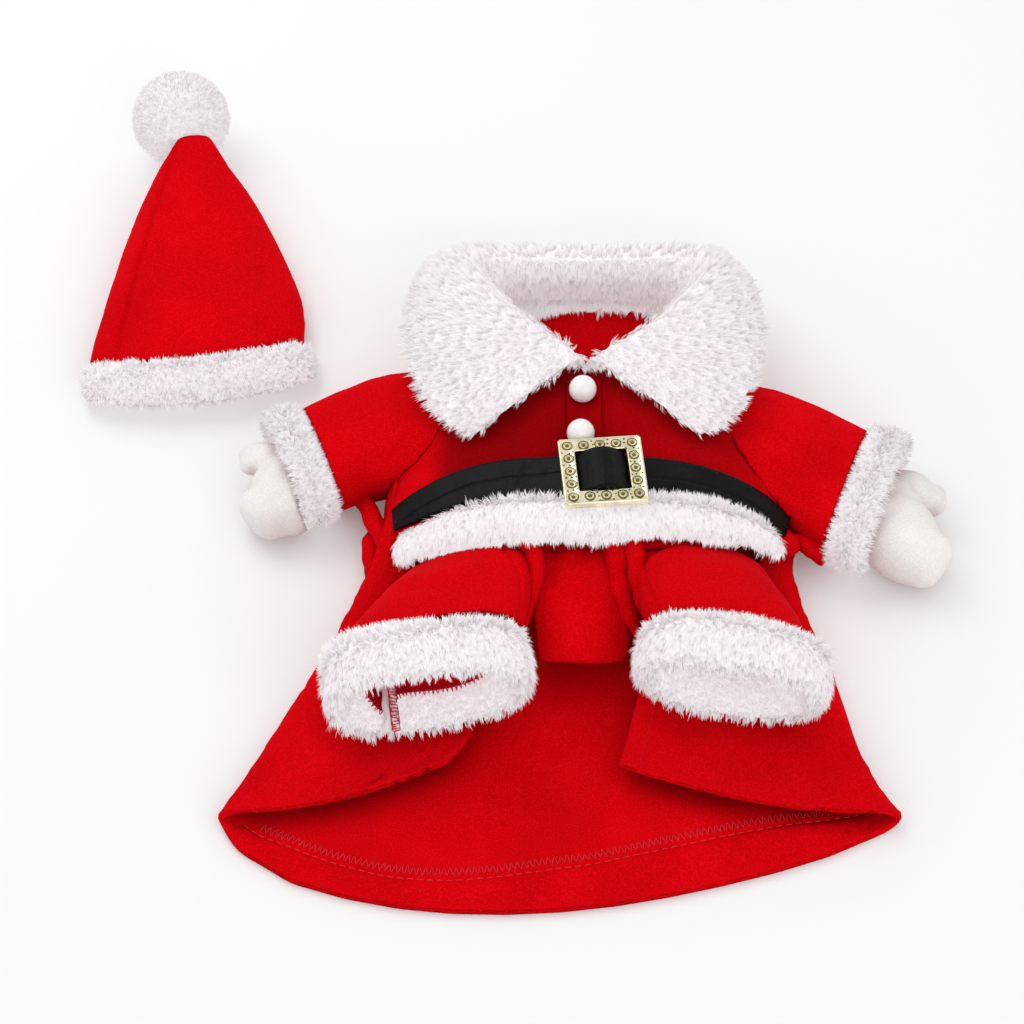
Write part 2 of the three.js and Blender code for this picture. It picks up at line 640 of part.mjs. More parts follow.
function collarCurve(round) {
  const half = round <= 1 ? round : 2 - round;
  const row = readTable(collarRows, half);
  const hand = round <= 1 ? 1 : -1;
  const leans = { neck: 1, fold: 1, fall: 0, edge: 0 };
  const corner = (part) => new THREE.Vector3(
    hand * row[`${part}X`] + collarShift + leans[part] * row.lean, row[`${part}Y`], row[`${part}Z`]);
  const curve = new THREE.CatmullRomCurve3(['neck', 'fold', 'fall', 'edge'].map(corner), false, 'centripetal');
  return curve.getPoints(8);
}

function collarBody() {
  const stations = steps(collarSteps * 2).map((s) => s * 2);
  const middle = stations.map(collarCurve);
  const normals = gridNormals(middle);
  const rings = middle.map((line, r) => {
    const nearEnd = Math.min(r, stations.length - 1 - r);
    const endShrink = nearEnd === 0 ? 0.45 : 1;
    const half = (c) => {
      const rim = c === line.length - 1 || c === 0 ? 0.5 : 1;
      return collarDepth / 2 * rim * endShrink;
    };
    const upper = line.map((point, c) => point.clone().addScaledVector(normals[r][c], -half(c)));
    const lower = line.map((point, c) => point.clone().addScaledVector(normals[r][c], half(c)));
    for (const point of [...upper, ...lower]) point.z = Math.max(0, point.z);
    return [...upper, ...lower.reverse()];
  });
  return loftBody(rings);
}

// Small pieces on the chest

// How far round the chest a point at x lies
function aroundAt(x, y) {
  const row = readTable(torsoRows, y);
  return Math.acos((row.left + row.right - 2 * x) / (row.right - row.left)) / Math.PI;
}

function placketBody() {
  const edges = [placket.x - placket.halfWidth, placket.x, placket.x + placket.halfWidth];
  const rows = 8;
  const grid = (out) => steps(rows).map((t) => {
    const y = mix(placket.bottom, placket.top, t);
    return edges.map((x) => onTorso(y, aroundAt(x, y), out));
  });
  return wallBody(grid(seamGap + placket.thick), grid(seamGap));
}

// A ball cut flat where it is sewn on
function buttonBody() {
  const base = -Math.asin(button.centreHeight / button.radius);
  const profile = steps(8).map((t) => {
    const turn = mix(base, Math.PI / 2, t);
    return [Math.max(0, button.radius * Math.cos(turn)), button.centreHeight + button.radius * Math.sin(turn)];
  });
  const points = [[0, 0], ...profile].map(([r, z]) => new THREE.Vector2(r, z));
  const lathe = new THREE.LatheGeometry(points, 16);
  lathe.rotateX(Math.PI / 2);
  return mergedSolid(lathe);
}

function mergedSolid(geometry) {
  return fromManifold(toManifold(geometry));
}

function beltBody(grow = 0) {
  const rows = 2;
  const reach = grow > 0 ? cutterReach.around : 0;
  const grid = (out) => steps(rows).map((t) => chestAround(reach).map((around) => {
    const row = readTable(beltRows, around);
    const y = row.middle + mix(-1, 1, t) * (row.half + grow);
    return onTorso(y, around, liftOver(torsoPoint(y, around).x, buckleLift) + out);
  }));
  return wallBody(grid(leather + grow), grid(-grow));
}

function buckleBody() {
  const half = buckle.side / 2;
  const hole = buckle.window / 2;
  const outline = new THREE.Shape();
  const c = buckle.corner;
  outline.moveTo(-half + c, -half);
  outline.lineTo(half - c, -half);
  outline.lineTo(half, -half + c);
  outline.lineTo(half, half - c);
  outline.lineTo(half - c, half);
  outline.lineTo(-half + c, half);
  outline.lineTo(-half, half - c);
  outline.lineTo(-half, -half + c);
  outline.closePath();
  const window = new THREE.Path();
  window.moveTo(-hole, -hole);
  window.lineTo(-hole, hole);
  window.lineTo(hole, hole);
  window.lineTo(hole, -hole);
  window.closePath();
  outline.holes.push(window);
  let frame = toManifold(new THREE.ExtrudeGeometry(outline, { depth: buckle.thick, bevelEnabled: false }));
  for (const [x, y] of buckleRingPlaces()) {
    const profile = [[buckleRing.inner, -0.5], [buckleRing.outer, -0.5], [buckleRing.outer - 0.3,
      buckleRing.height], [buckleRing.inner + 0.2, buckleRing.height], [buckleRing.inner, -0.5]];
    const ring = new THREE.LatheGeometry(profile.map(([r, z]) => new THREE.Vector2(r, z)), 10);
    ring.rotateX(Math.PI / 2);
    ring.translate(x, y, buckle.thick);
    frame = frame.add(toManifold(ring));
  }
  return fromManifold(frame);
}

// Ring places along the four sides of the buckle, the corner ones once
function buckleRingPlaces() {
  const reach = (buckle.side + buckle.window) / 4;
  const places = [];
  for (let i = 0; i < buckleRing.perSide - 1; i++) {
    const along = mix(-reach, reach, i / (buckleRing.perSide - 1));
    places.push([along, reach], [reach, -along], [-along, -reach], [-reach, along]);
  }
  return places;
}

// Black strap that runs up the buckle's window and bulges out of it in the middle
function beltLoopBody() {
  const columns = 10;
  const grid = (out) => [-0.5, 0.5].map((up) => steps(columns).map((t) => new THREE.Vector3(
    (t - 0.5) * beltLoop.width, up * beltLoop.length, beltLoop.base + out + Math.sin(Math.PI * t) * beltLoop.rise)));
  return wallBody(grid(beltLoop.thick), grid(0));
}

function furBandBody(grow = 0) {
  const columns = chestAround(grow > 0 ? cutterReach.around : 0);
  const size = 8;
  const rings = columns.map((around, i) => {
    const row = readTable(bandRows, around);
    const end = i === 0 || i === columns.length - 1 ? 0.6 : 1;
    const half = row.half * end + grow;
    const depth = row.depth * end + 2 * grow;
    return Array.from({ length: size }, (_, k) => {
      const angle = 2 * Math.PI * (k + 0.5) / size;
      const y = row.middle + half * Math.cos(angle);
      const lift = liftOver(torsoPoint(y, around).x) - grow;
      return onTorso(y, around, lift + Math.max(0, Math.sin(angle)) * depth);
    });
  });
  return loftBody(rings);
}

function bellyBody() {
  const rows = 8;
  const columns = 8;
  const first = bellyRows[bellyRows.length - 1].y;
  const last = bellyRows[0].y;
  const grid = (out) => steps(rows).map((t) => steps(columns).map((c) => {
    const y = mix(first, last, t);
    const row = readTable(bellyRows, y);
    const across = mix(-1, 1, c);
    return new THREE.Vector3(row.x + across * row.halfWidth, y + bellyHemBow * t * across * across,
      row.top - row.bow * across * across + out);
  }));
  return wallBody(grid(0), grid(-felt));
}

// Hat

const hatRingPoints = 24;

// How far the hat's lower edge bends back at a place across it, -1 to 1
function hemBow(across) {
  return brim.bow * (across * across - 0.5);
}

function hatRing(row, grow) {
  const centre = (row.left + row.right) / 2;
  const halfWidth = (row.right - row.left) / 2 + grow;
  return Array.from({ length: hatRingPoints }, (_, i) => {
    const angle = 2 * Math.PI * i / hatRingPoints;
    const sine = Math.sin(angle);
    const height = sine > 0 ? row.top - row.side : (row.side - row.base) * 1.5;
    const level = row.side + Math.sign(sine) * Math.abs(sine) ** 0.9 * height;
    const z = Math.max(row.base, level) + Math.sign(sine) * grow;
    const fade = Math.max(0, 1 - (row.along - hatRows[0].along) / brim.bowReach);
    const along = row.along + fade * hemBow(Math.cos(angle));
    return new THREE.Vector3(centre + halfWidth * Math.cos(angle), along, Math.max(0, z));
  });
}

function hatRings(grow) {
  const rows = 10;
  const first = hatRows[0].along;
  const last = hatRows[hatRows.length - 1].along;
  return steps(rows).map((t) => hatRing(readTable(hatRows, mix(first, last, t)), grow));
}

function hatConeBody() {
  return wallBody(hatRings(0), hatRings(-felt), true);
}

// The brim's fur is thick above, where it also hangs forward, and pressed thin and set back below
function brimBody() {
  const count = 26;
  const sectionSize = 10;
  const rounded = (value, power = 0.75) => Math.sign(value) * Math.abs(value) ** power;
  const rings = [];
  for (let i = 0; i < sectionSize; i++) {
    const outward = rounded(Math.sin(2 * Math.PI * i / sectionSize)) / 2 + 0.5;
    const forward = rounded(Math.cos(2 * Math.PI * i / sectionSize));
    rings.push(Array.from({ length: count }, (_, k) => {
      const side = rounded(Math.cos(2 * Math.PI * k / count), 0.8);
      const up = rounded(Math.sin(2 * Math.PI * k / count), 0.6);
      const above = Math.max(0, up) ** 0.6;
      const front = Math.max(0, forward);
      const lean = above * front;
      const shy = Math.max(0, -up) * front;
      const z = brim.z + up * (brim.halfHeight + mix(brim.thick, brim.topThick, above) * outward)
        - lean * brim.droop * outward;
      const y = brim.y - forward * brim.length / 2 - lean * brim.topForward + shy * brim.recess + hemBow(side);
      return new THREE.Vector3(side * (brim.halfWidth - brim.sideThick / 2 + brim.sideThick * outward), y,
        Math.max(0, z));
    }));
  }
  return loftBody(rings, true);
}

function pompomBody() {
  const sphere = new THREE.SphereGeometry(pompom.radius, 18, 12);
  sphere.rotateX(Math.PI / 2);
  sphere.translate(pompom.x, pompom.along, pompom.radius - pompom.sink);
  const places = sphere.getAttribute('position');
  for (let i = 0; i < places.count; i++) places.setZ(i, Math.max(0, places.getZ(i)));
  const rings = hatRings(seamGap);
  const tip = rings[rings.length - 1].map((point) => point.clone().setY(point.y + seamGap));
  return cutBody(sphere, [loftBody([...rings, tip])]);
}

// Putting the suit together

function makeMesh(name, geometry, colour, roughness = 0.95, metalness = 0) {
  const mesh = new THREE.Mesh(geometry, new THREE.MeshStandardMaterial({ color: colour, roughness, metalness }));
  mesh.name = name;
  return mesh;
}

function placeOnTorso(mesh, x, y, out, turn = 0) {
  const around = aroundAt(x, y);
  mesh.position.copy(onTorso(y, around, out));
  mesh.quaternion.setFromUnitVectors(new THREE.Vector3(0, 0, 1), torsoNormal(y, around));
  mesh.rotateZ(radians(turn));
  return mesh;
}

// The buckle leans back from the chest, its lower edge higher than its upper one
function placeWithBuckle(mesh) {
  const out = liftOver(buckle.x, buckleLift) + leather + seamGap + buckle.clear;
  placeOnTorso(mesh, buckle.x, buckle.y, out, buckle.turnDegrees);
  mesh.rotateX(-radians(buckle.leanDegrees));
  return mesh;
}

function makeCoat() {
  const coat = new THREE.Group();
  const wideChest = wideChestBody();
  const wideBack = backPanelBody(seamGap);
  const wideBelt = beltBody(seamGap);
  const wideBand = furBandBody(seamGap);
  const core = torsoCore();
  coat.add(makeMesh('chest_front', chestBody(), colours.red));
  coat.add(makeMesh('back_panel', backPanelBody(), colours.red));
  coat.add(makeMesh('belly_panel', bellyBody(), colours.red));
  coat.add(makeMesh('placket', placketBody(), colours.red));
  coat.add(makeMesh('belt', beltBody(), colours.leather, 0.45));
  for (const { name, x, y } of buttons) {
    const mesh = makeMesh(name, buttonBody(), colours.button, 0.25);
    coat.add(placeOnTorso(mesh, x, y, placket.thick + 2 * seamGap));
  }
  coat.add(placeWithBuckle(makeMesh('buckle', buckleBody(), colours.gold, 0.3, 1)));
  coat.add(placeWithBuckle(makeMesh('belt_loop', beltLoopBody(), colours.leather, 0.45)));
  const plate = new THREE.BoxGeometry(buckle.side + 2 * seamGap, buckle.side + 2 * seamGap, 10);
  plate.translate(0, 0, 5 - seamGap);
  const plateMesh = placeWithBuckle(new THREE.Mesh(plate));
  plateMesh.updateMatrix();
  plate.applyMatrix4(plateMesh.matrix);
  coat.add(makeMesh('fur_band', cutBody(furBandBody(), [plate]), colours.fur));
  for (const hand of ['left', 'right']) {
    const sleeve = stuffedBody(sleeveRows[hand], 8, 20, undefined, 0, 0);
    coat.add(makeMesh(`sleeve_${hand}`, cutBody(sleeve, [core, wideChest, wideBack, wideBelt, wideBand]), colours.red));
    const cuff = cuffAfter(readTable(sleeveRows[hand], 1), sleeveCuffs[hand]);
    coat.add(makeMesh(`sleeve_cuff_${hand}`, cuffBody(cuff, 20), colours.fur));
    const wideCuff = cuffBody({ ...cuff, thickIn: cuff.thickIn + seamGap, length: cuff.length + 2 * seamGap }, 20);
    const palm = stuffedBody(mittenRows[hand], 6, 16, mittenTurn[hand]);
    const thumb = stuffedBody(thumbRows[hand], 4, 12, thumbTurn[hand]);
    const mitten = fromManifold(toManifold(palm).add(toManifold(thumb)));
    coat.add(makeMesh(`mitten_${hand}`, cutBody(mitten, [wideCuff]), colours.mitten));
    const leg = cutBody(tubeBody(legRows[hand], 6, 22), [wideChest, wideBack, wideBand]);
    coat.add(makeMesh(`leg_${hand}`, leg, colours.red));
    coat.add(makeMesh(`leg_cuff_${hand}`, cuffBody(legCuffs[hand], 24), colours.fur));
  }
  coat.add(makeMesh('collar', cutBody(collarBody(), [wideChest, wideBack]), colours.fur));
  coat.position.set(coatPlace.x, coatPlace.y, 0);
  return coat;
}

function makeHat() {
  const hat = new THREE.Group();
  hat.add(makeMesh('hat_cone', hatConeBody(), colours.red));
  hat.add(makeMesh('hat_brim', brimBody(), colours.fur));
  hat.add(makeMesh('pompom', pompomBody(), colours.fur));
  hat.position.set(hatPlace.x, hatPlace.y, 0);
  hat.rotation.z = radians(hatPlace.turnDegrees);
  return hat;
}

const group = new THREE.Group();
group.add(makeCoat());
group.add(makeHat());
export default group;
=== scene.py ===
import math

import bmesh
import bpy
import numpy as np
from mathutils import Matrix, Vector, noise
from mathutils.bvhtree import BVHTree
from mathutils.kdtree import KDTree


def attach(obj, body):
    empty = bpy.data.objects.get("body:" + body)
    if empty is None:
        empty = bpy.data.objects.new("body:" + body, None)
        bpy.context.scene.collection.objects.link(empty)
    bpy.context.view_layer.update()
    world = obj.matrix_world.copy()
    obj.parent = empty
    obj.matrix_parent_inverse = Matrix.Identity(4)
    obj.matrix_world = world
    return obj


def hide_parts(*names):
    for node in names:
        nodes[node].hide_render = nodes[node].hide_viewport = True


MM = 0.001

# Camera: the photograph's angle, aimed at a point on the surface that the suit lies on
AIM = (3, -20.7, 0)
ELEVATION = 52
DISTANCE = 1300
LENS = 103.87
SENSOR = 36

# Painted glow: emission on the white pile and its backing, standing in for the light that the pile passes on
# from hair to hair
FUR_PAINTED_GLOW = 0.5

# How far tips of the pile may stand out of the solids, at least and at most, and how deep its roots are
TIP_REACH = (-0.6, 2.2)
ROOT_DEPTH = 0.5

# How far round a place the painted shade in the felt's creases reaches
PAINTED_SHADE_REACH = 22

# Mesh sizes, the angle in degrees from which an edge is sharp, and how the cloth swells beside a seam:
# how far aside, then height and half width
CLOTH_EDGE = 3.7
SEAM_EDGE = 1.0
SEAM_REACH = 2.4
SHARP = 50
SEAM_SIDES = (-3, 3)
SEAM_SWELL = (0.7, 2.2)
BACKING_EDGE = 3.8
BACKING_SHARP = 75

# Steps of the two kinds of smoothing turn, which together leave a form its size
SMOOTH_STEPS = (0.5, -0.52)

# Share of a fold's length over which each of its ends fades out
FOLD_FADE = 0.22

# Turned hem of the skirt, and a height between it and the flaps over it
HEM_RAISE = 0.9
HEM_SWELL = 1.0
HEM_ROLL = 4.5
UNDER_FLAPS = 6

# Painted shade on the chest between collar and belt, where the collar shades it: (place across, share of the
# colour)
CHEST_PAINTED_SHADE = (
    (-34, 1.0), (-24, 0.5), (0, 0.42), (30, 0.44), (50, 0.58), (90, 0.62), (110, 0.78), (125, 1.0))

# The belly panel's middle line, and how wide its lower end is drawn: (place along, share of the width)
BELLY_MIDDLE = 32.5
BELLY_WIDTHS = ((-115, 1.3), (-110, 1.3), (-106, 1.12), (-101, 1.0))

# Places and headings in degrees of the openings that have fur round them
LEFT_CUFF = ((-31.5, -133.2, 36), -9)
RIGHT_CUFF = ((93, -130.2, 37), 8)
LEFT_WRIST = ((-89.5, -9, 18), 69)
RIGHT_WRIST = ((157, -28.7, 19), -69)
BRIM = ((-138.8, 51.2, 10), -8)
BRIM_PUSH = 3.6

# Pile: length, width of a blade, blades in a tuft and their spread, how much tufts stand up, stray and close,
# and how much lighter than the others it is drawn, a painted lightening that makes up for the shade deep in
# it
PILE = {"length": 6.6, "width": 0.4, "tuft": 6, "spread": 1.2, "rise": 0.34, "wild": 0.13, "gather": 0.6}
SOFT_PILE = {"length": 4.8, "width": 0.38, "tuft": 5, "spread": 1.0, "rise": 0.42, "wild": 0.2,
             "gather": 0.45}
BALL_PILE = {"length": 3.4, "width": 0.36, "tuft": 4, "spread": 0.8, "rise": 0.45, "wild": 0.3, "gather": 0.3,
             "painted_pale": 0.55}

# Fringe at the neck: its blades, and their length for each place across
FRINGE_BLADES = 2600
FRINGE_LENGTHS = ((8, 10), (16, 8.5), (20, 7), (26, 4.5), (33, 2.6), (60, 2.4), (68, 4))

# A place in the collar that its fur lies away from, and the waist band's top edge in plan
COLLAR_MIDDLE = (36, 40)
BAND_TOP = ((-48, -52), (-15, -52), (37, -54), (85, -54), (120, -56))

# Buckle: its middle, directions and depth, the row of rings on each of its sides, a ring's level, radius and
# wire, and how far out the dots between them go
BUCKLE_MIDDLE = Vector((41.17, -44.74, 58.62))
BUCKLE_ACROSS = Vector((0.9963, 0.0859, -0.0107)).normalized()
BUCKLE_OUT = Vector((0.01, 0.01, 1)).normalized()
BUCKLE_UP = BUCKLE_OUT.cross(BUCKLE_ACROSS).normalized()
BUCKLE_DEPTH = 4.1
RING_ROW = 13.8
RINGS_A_SIDE = 5
RING_LEVEL = 3.25
RING_RADIUS = 1.5
RING_WIRE = 0.3
DOT_LIMIT = 16.5

# The buckle's section from its outer back edge over the top to its window: half size and height
BUCKLE_SECTION = [
    (17.4, 0), (17.6, 0.3), (17.6, 3.1), (17.4, 3.35), (17.0, 3.4), (16.7, 3.2), (11.8, 3.2), (11.5, 3.4),
    (11.1, 3.35), (10.9, 3.1), (10.9, 0.3), (11.1, 0)]

# Seams and edges read off the photograph, as places in plan
HAT_SEAM = [(-155.8, 174.8), (-163.1, 143.2), (-167.9, 117), (-171.3, 93.5), (-174.4, 71.5), (-175.9, 58.6)]
HEM_STITCH = [
    (-106, -183), (-99.4, -188.1), (-88.6, -192.8), (-77.1, -198), (-64.1, -202.7), (-49.5, -206.8),
    (-35.8, -208.7), (-22.2, -209.2), (-8.6, -208.2), (5, -206.4), (18.6, -204.1), (32.3, -202.2),
    (46.5, -198.9), (59.8, -195.6), (79, -190.9), (96.5, -186.7), (115.8, -182.9), (133.8, -180.5),
    (146, -178)]
FLAP_SEAM_RIGHT = [(67, -112), (63.9, -130.8), (60.6, -144.8), (56.3, -162.8)]
FLAP_SEAM_LEFT = [(-21, -128), (-24, -140), (-28, -148), (-31, -156)]
FLAP_STITCH = [(64, -116), (62, -131), (58.6, -146), (55, -161)]
BELT_GROOVE = [
    (-47.5, -50.5), (-45.7, -48.8), (-31.8, -45), (-19.1, -41.9), (3.8, -40), (22.4, -40.6), (41, -41),
    (61.2, -41.4), (83.1, -41.6), (99.8, -44.6), (115.9, -48.9), (120.5, -50)]
LEFT_LEG_SEAM = [(-4, -66), (0.1, -75), (4, -83), (6.5, -92), (7, -104), (5, -116)]
RIGHT_LEG_SEAM = [(78, -70), (64, -74), (58.5, -79), (57.5, -88), (59.5, -98), (62, -108), (64, -116)]

# Inside the left cuff: the seam strip's middle, arch and half thickness, the lining's edge, how deep it goes,
# the heights of its two sides over the fur's backing, and a height in the opening
STRIP_PATH = [
    (-47.4, -118, 34), (-47.6, -127, 33), (-47.4, -136, 31.5), (-46.8, -143, 30.3), (-46, -149, 28),
    (-45.6, -152.4, 24.5)]
STRIP_ARCH = 1.1
STRIP_HALF = 0.6
LINING_EDGE = [
    (-60, -130, 0), (-57, -136.5, 0), (-50, -144, 0), (-46.5, -137.5, 0), (-42, -134.5, 0), (-33, -133.5, 0),
    (-26, -133, 0), (-18, -131.5, 0), (-10, -129, 0), (-6, -127, 0)]
LINING_DEEP = -119.0
LINING_TOP = 2.5
LINING_UNDER = 1.3
INSIDE_CUFF = 42.0

# Folds: line in plan, height and half width
HAT_FOLDS = [
    ([(-147, 172), (-146, 140), (-140, 105), (-134, 70)], 1.1, 9),
    ([(-152, 170), (-155, 140), (-157, 105), (-158, 70)], -0.8, 8),
    ([(-139, 168), (-131, 140), (-120, 110), (-112, 78)], -0.9, 7),
    ([(-128, 96), (-118, 84), (-108, 76)], 0.9, 6),
    ([(-165, 84), (-150, 76), (-138, 74)], -0.7, 8),
]
CHEST_FOLDS = [
    ([(-30, 2), (-22, -12), (-16, -26)], 0.8, 6),
    ([(-40, -18), (-33, -24), (-24, -30)], -0.9, 4),
    ([(4, 8), (6, -8), (3, -24)], -0.7, 9),
    ([(100, 2), (92, -12), (88, -26)], 0.8, 6),
    ([(108, -24), (98, -28), (90, -32)], -0.8, 4),
    ([(70, 10), (72, -6), (70, -22)], -0.6, 9),
    ([(50, 4), (54, -10), (62, -20)], 0.5, 6),
    ([(14, -4), (20, -16), (22, -30)], 0.6, 5),
    ([(64, 0), (78, -12), (84, -24)], -0.6, 5),
]
BACK_FOLDS = [
    ([(18, -120), (13, -145), (6, -170), (-2, -190)], 1.0, 10),
    ([(36, -118), (40, -150), (38, -180)], -0.5, 9),
    ([(-6, -150), (-18, -172), (-30, -190)], 0.7, 8),
    ([(60, -165), (74, -176), (96, -184)], 0.6, 7),
    ([(-70, -120), (-76, -140), (-86, -160)], 1.2, 7),
    ([(-50, -128), (-56, -148), (-62, -168)], -0.9, 7),
    ([(-92, -150), (-84, -166), (-66, -174)], -0.8, 5),
    ([(112, -118), (118, -140), (130, -162)], 1.2, 7),
    ([(92, -130), (98, -150), (104, -170)], -0.9, 8),
    ([(80, -142), (78, -156), (82, -168)], 0.9, 6),
    ([(136, -160), (128, -172), (112, -176)], -0.8, 5),
]
BELLY_FOLDS = [
    ([(26, -72), (24, -88), (26, -102)], -0.8, 5),
    ([(38, -72), (40, -88), (38, -104)], 0.8, 5),
    ([(20, -106), (32, -110), (46, -106)], 0.7, 4),
    ([(20, -58), (19.5, -74), (17, -90)], -2.6, 4),
]
LEFT_LEG_FOLDS = [
    ([(-52, -84), (-36, -90), (-18, -88), (-6, -94)], 1.1, 6),
    ([(-48, -100), (-30, -99), (-12, -102)], -0.9, 5),
    ([(-24, -72), (-16, -84), (-14, -98)], 0.8, 6),
]
RIGHT_LEG_FOLDS = [
    ([(70, -80), (86, -84), (104, -82)], 1.0, 6),
    ([(72, -94), (90, -98), (108, -96)], -0.8, 5),
    ([(96, -72), (104, -86), (112, -100)], 0.9, 6),
]
LEFT_SLEEVE_FOLDS = [
    ([(-36, -10), (-50, -16), (-64, -22)], -1.3, 5),
    ([(-44, 8), (-56, -2), (-70, -10)], 1.0, 7),
    ([(-40, 22), (-58, 18), (-74, 20)], -0.7, 8),
    ([(-66, 4), (-72, -8), (-72, -20)], -0.9, 5),
]
RIGHT_SLEEVE_FOLDS = [
    ([(108, -22), (122, -34), (134, -44)], -1.3, 5),
    ([(112, 2), (126, -10), (142, -22)], 1.0, 7),
    ([(110, 18), (126, 12), (142, 6)], -0.7, 8),
    ([(138, -8), (140, -22), (136, -36)], -0.9, 5),
]
LEFT_MITTEN_FOLDS = [
    ([(-96, -2), (-106, -14), (-112, -26)], -1.8, 4),
    ([(-90, -16), (-96, -28), (-96, -38)], -1.2, 5),
    ([(-108, 0), (-112, 4), (-118, 6)], 0.8, 4),
]
RIGHT_MITTEN_FOLDS = [
    ([(164, -26), (178, -32), (190, -34)], -2.2, 4),
    ([(160, -38), (172, -46), (184, -52)], -1.3, 5),
]
BELT_FOLDS = [
    ([(-20, -34), (-12, -40), (-10, -50)], 0.5, 4),
    ([(8, -34), (10, -42), (8, -50)], -0.5, 4),
    ([(74, -34), (76, -42), (74, -50)], 0.5, 5),
    ([(94, -36), (96, -44), (94, -52)], -0.4, 4),
]

# Rolls of felt where cloth is bunched: name and rows of place and radius
FELT_ROLLS = {
    "left_side_strip": [
        (-64, -20, 12, 3), (-60.7, -25.4, 12, 4.2), (-57, -36, 13, 4.2), (-53, -45, 13, 4),
        (-50, -54, 12, 3)],
    "left_side_fold": [(-56, -38, 9, 2), (-57.5, -43.1, 8, 4), (-57.2, -54, 7, 4), (-56, -65.4, 6, 3)],
    "right_side_fold": [
        (111, -46, 20, 4), (117, -50.5, 19, 6), (121.5, -52.5, 18, 6), (126, -50.5, 17, 3.6),
        (132, -53, 16, 4.6), (138, -57, 15, 4.4)],
    "crotch_fold_left": [
        (4, -68, 42, 3.4), (11, -72, 42.6, 4), (13.4, -79, 38.8, 4), (12, -87, 33.2, 3.4),
        (9.6, -94, 28, 2.6), (8, -100, 24, 1.4)],
    "crotch_fold_right": [
        (43.4, -65, 45.6, 3.6), (45.2, -73, 42.8, 4.3), (46.8, -82, 36.8, 4.5), (49.4, -90.6, 30.6, 4.4),
        (53.2, -98, 25, 3.6), (57, -103, 21, 2.4)],
    "right_leg_fold": [
        (52, -63, 45, 3.6), (53.6, -71, 42.4, 5), (55, -80, 38, 5), (57, -88, 34, 4.6), (59.4, -95, 30.6, 4),
        (62, -102, 27, 3)],
}

# Height from which a ray goes down onto a piece, when nothing above it is left out
FAR_ABOVE = 200.0

# Refining: most rounds of splitting, and the normal's height below which a seam's underside is left coarse
SPLIT_ROUNDS = 7
UNDERSIDE = -0.2

# Pile: share of tufts on faces that look down, how flat a hair may lie, range of tuft and blade lengths,
# scatter of tips in mm, share of its length that a blade bows, its twist, and the tuft's part in its tone
HIDDEN_SHARE = 0.2
FLATTEST = 0.22
TUFT_SIZES = (0.75, 1.15)
BLADE_SIZES = (0.8, 1.05)
TIP_SCATTER = 0.25
BLADE_BOW = 0.14
BLADE_TWIST = 0.22
TUFT_TONE = 0.55

# Threads: sides of their tubes, share of the radius at the ends, step and dip of a stitch, turns in a path
THREAD_SIDES = 5
THREAD_END = 0.35
STITCH_STEP = 0.5
STITCH_DIP = 0.35
OVERLOCK_TURNS = 14

# Radii of the threads, and how far inside the hem's stitches its zigzag starts
THICK_THREAD = 0.24
THIN_THREAD = 0.18
BELT_THREAD = 0.17
HEM_INNER = 1.6

# Felt: colours of the dark, middle and light fibres, then the sheen of the nap and its tint
RED_NAP = ((0.55, 0.0, 0.0025), (0.7, 0.0008, 0.004), (0.8, 0.004, 0.012), 0.12, (1.0, 0.04, 0.08))
MITTEN_NAP = ((0.84, 0.8, 0.77), (0.91, 0.885, 0.86), (0.96, 0.945, 0.93), 0.2, (1.0, 0.98, 0.96))
KNIT_NAP = ((0.78, 0.66, 0.68), (0.88, 0.8, 0.81), (0.95, 0.9, 0.9), 0.2, (1.0, 0.95, 0.95))

# Lamps: name, place in metres, power in watts and size; and the light of the room and of the paper below
LAMPS = [("key", (-0.5, 0.5, 1.0), 3.35, 0.8), ("fill", (0.5, -0.95, 0.65), 2.1, 0.9)]
LAMP_AIM = (0, -0.03, 0)
ROOM_LIGHT = 0.82
PAPER_LIGHT = 0.12
PAPER_HALF = 3
PAPER_DROP = 0.2

# Solids that are not fur, listed under a material's name; each is hidden, as its piece stands in for it
SLOTS = {
    "red_felt": [
        "hat_cone", "chest_front", "back_panel", "belly_panel", "placket", "leg_left", "leg_right",
        "sleeve_left", "sleeve_right"],
    "mitten_felt": ["mitten_left", "mitten_right"],
    "black_leather": ["belt", "belt_loop"],
    "gilt_plastic": ["buckle"],
    "button_plastic": ["button_upper", "button_lower"],
}


# Arrays and lines

def unit(vectors):
    """The same directions with length 1."""
    return vectors / np.maximum(np.linalg.norm(vectors, axis=-1, keepdims=True), 1e-9)


def curved(points, parts=6):
    """A smooth line through points, with extra points between them."""
    places = np.array(points, float)
    if len(places) < 3:
        return places
    padded = np.vstack((2 * places[0] - places[1], places, 2 * places[-1] - places[-2]))
    line = []
    for k in range(1, len(padded) - 2):
        before, start, end, after = padded[k - 1:k + 3]
        for t in np.linspace(0, 1, parts, endpoint=False):
            bend = (2 * before - 5 * start + 4 * end - after) * t * t
            twist = (3 * start - before - 3 * end + after) * t ** 3
            line.append((2 * start + (end - before) * t + bend + twist) / 2)
    line.append(places[-1])
    return np.array(line)


def distance_to_line(places, line):
    """How far each place is from a line in plan, and where on the line it is nearest, from 0 to 1."""
    points = line[:, :2]
    lengths = np.linalg.norm(np.diff(points, axis=0), axis=1)
    starts = np.concatenate(([0], np.cumsum(lengths)))
    best = np.full(len(places), np.inf)
    along = np.zeros(len(places))
    for k, length in enumerate(lengths):
        span = points[k + 1] - points[k]
        t = np.clip(((places[:, :2] - points[k]) @ span) / max(length * length, 1e-9), 0, 1)
        gap = np.linalg.norm(places[:, :2] - (points[k] + t[:, None] * span), axis=1)
        closer = gap < best
        best[closer] = gap[closer]
        along[closer] = (starts[k] + t[closer] * length) / starts[-1]
    return best, along


